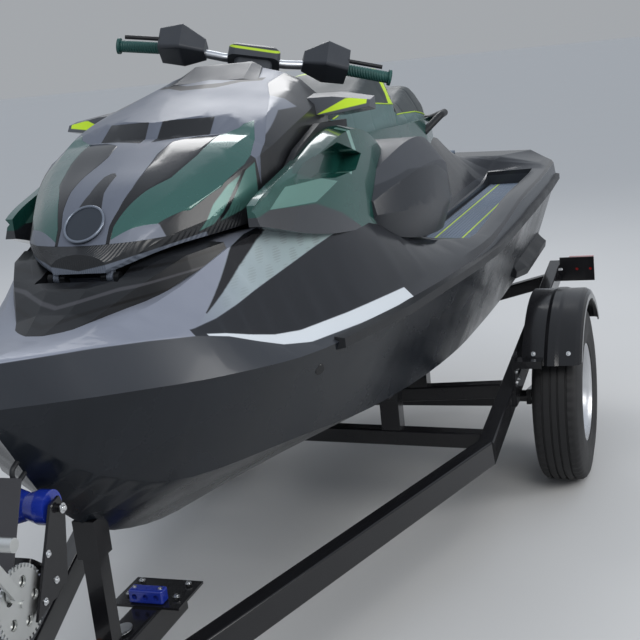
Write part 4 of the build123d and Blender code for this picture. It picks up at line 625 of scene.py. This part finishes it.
rubber = finish("tyre_rubber", (0.020, 0.020, 0.021), (0.012, 0.012, 0.013), (0.55, 0.7), bump=0.3, fine=400,
                gleam=0.35)
WHEEL_X, WHEEL_Y, WHEEL_Z = 0.745, 1.1075, 0.305
TREAD_R, OUTER_R, GROOVE, CROSS_CUT, TYRE_STEPS = 0.3048, 0.3030, 0.006, 0.0035, 180
half_tyre = [(0.062, 0.1642), (0.074, 0.172), (0.0785, 0.198), (0.0812, 0.205), (0.0815, 0.238),
             (0.0795, 0.246), (0.0735, 0.284), (0.066, 0.296), (0.0570, 0.3010), (0.0420, OUTER_R),
             (0.0415, OUTER_R - GROOVE), (0.0350, OUTER_R - GROOVE), (0.0345, 0.3040), (0.0150, TREAD_R),
             (0.0145, TREAD_R - GROOVE), (0.0085, TREAD_R - GROOVE), (0.0080, TREAD_R)]
tyre_points = half_tyre + [(-x, radius) for x, radius in half_tyre[::-1]]
last_point = len(tyre_points) - 1
shoulder = (7, 8, 9, last_point - 7, last_point - 8, last_point - 9)
for side, hand in (("port", 1), ("starboard", -1)):
    tyre = lathe(f"tyre_treaded_{side}", tyre_points, TYRE_STEPS, (hand * WHEEL_X, WHEEL_Y, WHEEL_Z),
                 shoulder, CROSS_CUT)
    fit(tyre, rubber, f"{side}_wheel", 32)
    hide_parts(f"tyre_{side}")

# Wheels and tail lamps: pressed steel rims with slots, lacquered silver and bolted to the hubs, and boxy
# lamps moulded in red lens plastic, screwed to plates at the rail ends.
rim = finish("rim_silver", (0.62, 0.63, 0.65), (0.52, 0.53, 0.55), (0.25, 0.36), metallic=0.8, coat=0.3)
for node in ("wheel_port", "wheel_starboard"):
    dress(node, rim)
lens = finish("lamp_red", (0.5, 0.012, 0.012), (0.35, 0.01, 0.01), (0.08, 0.15), coat=0.8, bump=0.2, fine=90)
dress("tail_lamps", lens)


# Bolts: zinc-plated hex heads on washers, through the rail brackets, fender ends, winch plates and gusset,
# with pin ends at the bow roller and small screws in the keel pad.
def hardware(name, shape, radius, depth, places, metal, stretch=1.0):
    """One piece of like stacks at (point, outward direction), their layers scaled by radius and depth."""
    mesh = bmesh.new()
    for point, toward in places:
        aim = Vector(toward).to_track_quat("Z", "Y").to_matrix().to_4x4()
        place = Matrix.Translation(point) @ aim @ Matrix.Diagonal((1, stretch, 1, 1))
        for segments, low_r, high_r, base, thick in shape:
            bmesh.ops.create_cone(mesh, cap_ends=True, segments=segments, radius1=low_r * radius,
                                  radius2=high_r * radius, depth=thick * depth,
                                  matrix=place @ Matrix.Translation((0, 0, (base + thick / 2) * depth)))
    data = bpy.data.meshes.new(name)
    mesh.to_mesh(data)
    mesh.free()
    return fit(placed(name, data), metal, "root", 25)


# Columns: sides, radius below, radius above, base and thickness, the last four as shares of a size
HEX_BOLT = ((20, 0.95, 0.95, 0.0, 0.16), (6, 0.58, 0.58, 0.16, 0.42), (6, 0.58, 0.44, 0.58, 0.10))
PORT, STARBOARD, TOP, FENDER_END = (1, 0, 0), (-1, 0, 0), (0, 0, 1), (0, -0.93, 0.36)
HANDS = ((1, PORT), (-1, STARBOARD))
plated = finish("plated_bolts", (0.72, 0.73, 0.74), (0.6, 0.61, 0.62), (0.2, 0.3), metallic=1.0, bump=0.05,
                scale=40)
BRACKET_FACE_X, BRACKET_STATIONS, BRACKET_PITCH, BRACKET_ROWS = 0.6332, (0.811, 1.396), 0.020, (0.442, 0.478)
rail_bolts = [((hand * BRACKET_FACE_X, y + step, z), out) for hand, out in HANDS for y in BRACKET_STATIONS
              for step in (-BRACKET_PITCH, BRACKET_PITCH) for z in BRACKET_ROWS]
fender_bolts = [((hand * x, 0.8165, 0.530), FENDER_END) for hand in (1, -1) for x in (0.688, 0.800)]
plate_bolts = [((hand * 0.0642, y, z), out) for hand, out in HANDS
               for y, z in ((-1.085, 0.618), (-1.040, 0.640), (-1.052, 0.700))]
gusset_bolts = [((hand * 0.062, y, 0.3672), TOP) for hand in (1, -1) for y in (-0.5925, -0.5275)]
roller_ends = [((hand * 0.0722, -0.99387, 0.76836), out) for hand, out in HANDS]
pad_screws = [((hand * 0.033, -0.6125, 0.3962), TOP) for hand in (1, -1)]
for name, places, size in (("rail_bolts", rail_bolts, 0.009), ("fender_bolts", fender_bolts, 0.008),
                           ("winch_plate_bolts", plate_bolts, 0.008), ("gusset_bolts", gusset_bolts, 0.009),
                           ("roller_pin_ends", roller_ends, 0.011), ("keel_pad_screws", pad_screws, 0.0055)):
    hardware(name, HEX_BOLT, size, size, places, plated)

# Small fittings: a round gloss drain cover on each flank, and on the tongue a bare oval plate and two amber
# side markers. All have a rolled edge and are pressed or screwed on.
DISC = ((40, 1.0, 1.0, 0.0, 0.6), (40, 1.0, 0.86, 0.6, 0.4))
TONGUE_TOP_Z = 0.3622
for side, hand in (("port", 1), ("starboard", -1)):
    drain = ((hand * 0.4065, -0.407, 0.863), (hand * 0.80, -0.52, -0.28))
    hardware(f"flank_drain_cover_{side}", DISC, 0.0135, 0.004, [drain], gloss_black)
bare_plate = finish("bare_oval_plate", (0.62, 0.63, 0.64), (0.5, 0.51, 0.52), (0.25, 0.4), metallic=1.0,
                    scale=30)
hardware("tongue_oval_plate", DISC, 0.021, 0.0025, [((0.0, -0.745, TONGUE_TOP_Z), TOP)], bare_plate, 1.45)
amber = finish("amber_marker", (0.85, 0.25, 0.01), (0.6, 0.15, 0.005), (0.1, 0.2), bump=0.2, fine=120)
for side, hand in (("port", 1), ("starboard", -1)):
    hardware(f"amber_marker_{side}", DISC, 0.010, 0.006, [((hand * 0.026, -0.835, TONGUE_TOP_Z), TOP)], amber)


# Seats: two upholstered cushions, foam under stitched marine vinyl. Each starts as its packed form, is
# filled under pressure as cloth, and then gets sewn channels, lime piping over its teal side panels and a
# lime band at the step between rider and passenger.
def settled(obj):
    """Turns what the modifiers show into the object's own mesh."""
    bpy.context.view_layer.update()
    mesh = bpy.data.meshes.new_from_object(obj.evaluated_get(bpy.context.evaluated_depsgraph_get()))
    obj.modifiers.clear()
    obj.data = mesh
    return mesh


def place_points(mesh, points):
    """Moves every vertex of a mesh to its new place in one step."""
    mesh.vertices.foreach_set("co", [value for point in points for value in point])
    mesh.update()


VOXEL, INSET, SWELL_CAP, CROWN, SEAM_HALF = 0.009, 0.005, 0.006, 0.0025, 0.006
PRESSURE, FILLING_FRAMES, FACES_DOWN = 4, 20, -0.4
# How soon a face counts as upward, and how full the crown between two seams is
UPWARD_GAIN, CROWN_FULLNESS = 1.6, 0.6


def filled(pad, start, underside):
    """Fills the pad as cloth under pressure, with its underside held and its movement capped."""
    pad.vertex_groups.new(name="held").add(underside, 1.0, "REPLACE")
    cloth = pad.modifiers.new("filling", "CLOTH")
    cloth.settings.use_pressure, cloth.settings.uniform_pressure_force = True, PRESSURE
    cloth.settings.effector_weights.gravity = 0
    cloth.settings.vertex_group_mass = "held"
    for count in range(1, FILLING_FRAMES + 1):
        bpy.context.scene.frame_set(count)
    mesh = settled(pad)
    bpy.context.scene.frame_set(1)
    points = []
    for vertex, was in zip(mesh.vertices, start):
        moved = vertex.co - was
        points.append(was + moved * min(1.0, SWELL_CAP / max(moved.length, 1e-6)))
    place_points(mesh, points)


def upholstered(name, node, seams):
    """A stuffed pad from a node's form: filled as cloth, then crowned between (station, depth) seams."""
    pad = placed(name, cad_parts[node].data.copy())
    pad.modifiers.new("weld", "WELD").merge_threshold = 0.0001
    grid = pad.modifiers.new("grid", "REMESH")
    grid.mode, grid.voxel_size = "VOXEL", VOXEL
    soften = pad.modifiers.new("soften", "SMOOTH")
    soften.factor, soften.iterations = 0.5, 6
    mesh = settled(pad)
    start = [vertex.co - vertex.normal * INSET for vertex in mesh.vertices]
    underside = [vertex.index for vertex in mesh.vertices if vertex.normal.z < FACES_DOWN]
    place_points(mesh, start)
    filled(pad, start, underside)
    finer = pad.modifiers.new("finer", "SUBSURF")
    finer.levels = finer.render_levels = 1
    mesh = settled(pad)
    front, rear = [Vector(corner).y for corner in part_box(node)]
    stops = [front] + [y for y, depth in seams] + [rear]
    sewn = []
    for point, normal in [(vertex.co.copy(), vertex.normal.copy()) for vertex in mesh.vertices]:
        upward, move = max(0.0, min(1.0, normal.z * UPWARD_GAIN)), 0.0
        for first, last in zip(stops, stops[1:]):
            if first <= point.y <= last:
                share = (point.y - first) / (last - first)
                move += CROWN * upward * math.sin(math.pi * share) ** CROWN_FULLNESS
        move -= upward * sum(depth * math.exp(-((point.y - seam) / SEAM_HALF) ** 2) for seam, depth in seams)
        sewn.append(point + normal * move)
    place_points(mesh, sewn)
    for face in mesh.polygons:
        face.use_smooth = True
    return pad


# How far the cord's axis stands off the vinyl is a share of its radius
PIPING_R, PIPING_PROUD, RING_POINTS, STEPS_A_RUN = 0.0022, 0.3, 8, 12


def piping(name, pad, line, vinyl_cord):
    """A thin round cord sewn along a pad's side at (station, height) points, on both sides."""
    skin = BVHTree.FromPolygons([v.co for v in pad.data.vertices],
                                [face.vertices[:] for face in pad.data.polygons])
    verts, faces = [], []
    turns = [math.tau * k / RING_POINTS for k in range(RING_POINTS)]
    for hand in (1, -1):
        path = []
        for (y0, z0), (y1, z1) in zip(line, line[1:]):
            for k in range(STEPS_A_RUN):
                t = k / STEPS_A_RUN
                outside = Vector((hand * 0.5, y0 + (y1 - y0) * t, z0 + (z1 - z0) * t))
                spot = skin.ray_cast(outside, Vector((-hand, 0, 0)))[0]
                if spot:
                    path.append(spot + Vector((hand * PIPING_R * PIPING_PROUD, 0, 0)))
        base, last = len(verts), len(verts) + (len(path) - 1) * RING_POINTS
        for spot in path:
            verts += [(spot.x + PIPING_R * math.cos(turn), spot.y, spot.z + PIPING_R * math.sin(turn))
                      for turn in turns]
        for here in range(base, last, RING_POINTS):
            after = here + RING_POINTS
            faces += [(here + k, here + (k + 1) % RING_POINTS, after + (k + 1) % RING_POINTS, after + k)
                      for k in range(RING_POINTS)]
        faces += [tuple(end + k for k in range(RING_POINTS)) for end in (base, last)]
    mesh = bpy.data.meshes.new(name)
    mesh.from_pydata(verts, [], faces)
    return fit(placed(name, mesh), vinyl_cord, "root", 60)


PANEL_TEAL, BAND_LIME = (0.075, 0.140, 0.142), (0.50, 0.72, 0.02)
BAND_START, BAND_END, BAND_FROM_Z = 1.122, 1.182, 1.345
FRONT_PANEL = [(0.625, 1.345), (0.740, 1.368), (0.990, 1.360), (1.080, 1.350), (1.185, 1.340)]
REAR_PANEL = [(1.225, 1.300), (1.500, 1.286), (1.700, 1.254)]
FRONT_SEAMS = ((0.76, 0.002), (0.93, 0.002), (BAND_START, 0.0022), (BAND_END, 0.0022))
REAR_SEAMS = ((1.36, 0.002), (1.54, 0.002))
vinyl = finish("seat_vinyl", (0.028, 0.038, 0.042), (0.017, 0.025, 0.028), (0.42, 0.56), bump=0.35, fine=900,
               sheen=0.1, gleam=0.4)
seat = Masking(vinyl)
panel_top = seat.line(seat.station, [(0.60, 1.340)] + FRONT_PANEL + REAR_PANEL + [(1.73, 1.250)])
seat.paint(PANEL_TEAL, [seat.under(seat.height, panel_top, 0.0008)], 0.4)
seat.paint(BAND_LIME, [seat.over(seat.station, BAND_START), seat.under(seat.station, BAND_END),
                       seat.over(seat.height, BAND_FROM_Z)], 0.4)
piping_lime = finish("piping_lime", (0.46, 0.66, 0.03), (0.36, 0.54, 0.02), (0.4, 0.5), bump=0.2, fine=900)
for node, seams, line in (("seat_front", FRONT_SEAMS, FRONT_PANEL), ("seat_rear", REAR_SEAMS, REAR_PANEL)):
    pad = upholstered(f"{node}_cushion", node, seams)
    pad.data.materials.clear()
    pad.data.materials.append(vinyl)
    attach(pad, "root")
    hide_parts(node)
    piping(f"{node}_piping", pad, line, piping_lime)

# Floor, light and camera: a plain pale floor that runs into a pale sky, three soft studio lamps aimed at the
# craft, and a camera at the photograph's viewing angle.
bpy.ops.mesh.primitive_plane_add(size=120, location=(0, 0, 0))
floor = bpy.context.object
floor.name = "floor"
floor.data.materials.append(finish("floor_pale", (0.60, 0.60, 0.595), (0.57, 0.57, 0.565), (0.7, 0.85),
                                   bump=0.02, scale=1.5, fine=60))
HORIZON, ZENITH = (0.545, 0.570, 0.600, 1), (0.94, 1.02, 1.14, 1)
SKY_STRENGTH, SKY_LOW, SKY_HIGH = 0.68, 0.08, 0.8
world = bpy.data.worlds.new("studio")
bpy.context.scene.world = world
world.use_nodes = True
sky, background = world.node_tree.nodes, world.node_tree.nodes["Background"]
toward, split = sky.new("ShaderNodeTexCoord"), sky.new("ShaderNodeSeparateXYZ")
ramp, blend = sky.new("ShaderNodeMapRange"), sky.new("ShaderNodeMix")
blend.data_type = "RGBA"
lower, upper, result = MIX_COLOR
blend.inputs[lower].default_value, blend.inputs[upper].default_value = HORIZON, ZENITH
ramp.inputs["From Min"].default_value, ramp.inputs["From Max"].default_value = SKY_LOW, SKY_HIGH
background.inputs["Strength"].default_value = SKY_STRENGTH
join(world.node_tree.links, (toward.outputs["Generated"], split.inputs[0]),
     (split.outputs["Z"], ramp.inputs["Value"]), (ramp.outputs["Result"], blend.inputs["Factor"]),
     (blend.outputs[result], background.inputs["Color"]))
# Columns: name, place, size, watts, tint
LIGHTS = (
    ("key", (2.8, -3.6, 4.6), 2.6, 125, (1.0, 0.985, 0.96)),
    ("side", (5.2, 0.6, 2.6), 2.0, 80, (1.0, 0.99, 0.97)),
    ("back", (-1.5, 4.5, 4.4), 2.4, 84, (1.0, 1.0, 1.0)),
)
LAMPS_AIM = Vector((0, 0, 0.7))
for name, place, size, power, tint in LIGHTS:
    lamp = bpy.data.lights.new(name, "AREA")
    lamp.size, lamp.energy, lamp.color = size, power, tint
    holder = placed(name, lamp)
    holder.location = place
    holder.rotation_euler = (LAMPS_AIM - Vector(place)).to_track_quat("-Z", "Y").to_euler()
CAMERA_AT = (1.28156, -2.72918, 1.58579)
RIGHT, UP, BACK = (0.94004, 0.32102, -0.10445), (0.01830, 0.25991, 0.96556), (0.33712, -0.91080, 0.23826)
camera = placed("camera", bpy.data.cameras.new("camera"))
camera.data.lens, camera.data.sensor_width, camera.data.clip_end = 63.92, 36, 200
camera.matrix_world = Matrix.Translation(CAMERA_AT) @ Matrix((RIGHT, UP, BACK)).transposed().to_4x4()
bpy.context.scene.camera = camera
bpy.context.scene.view_settings.view_transform = "Standard"
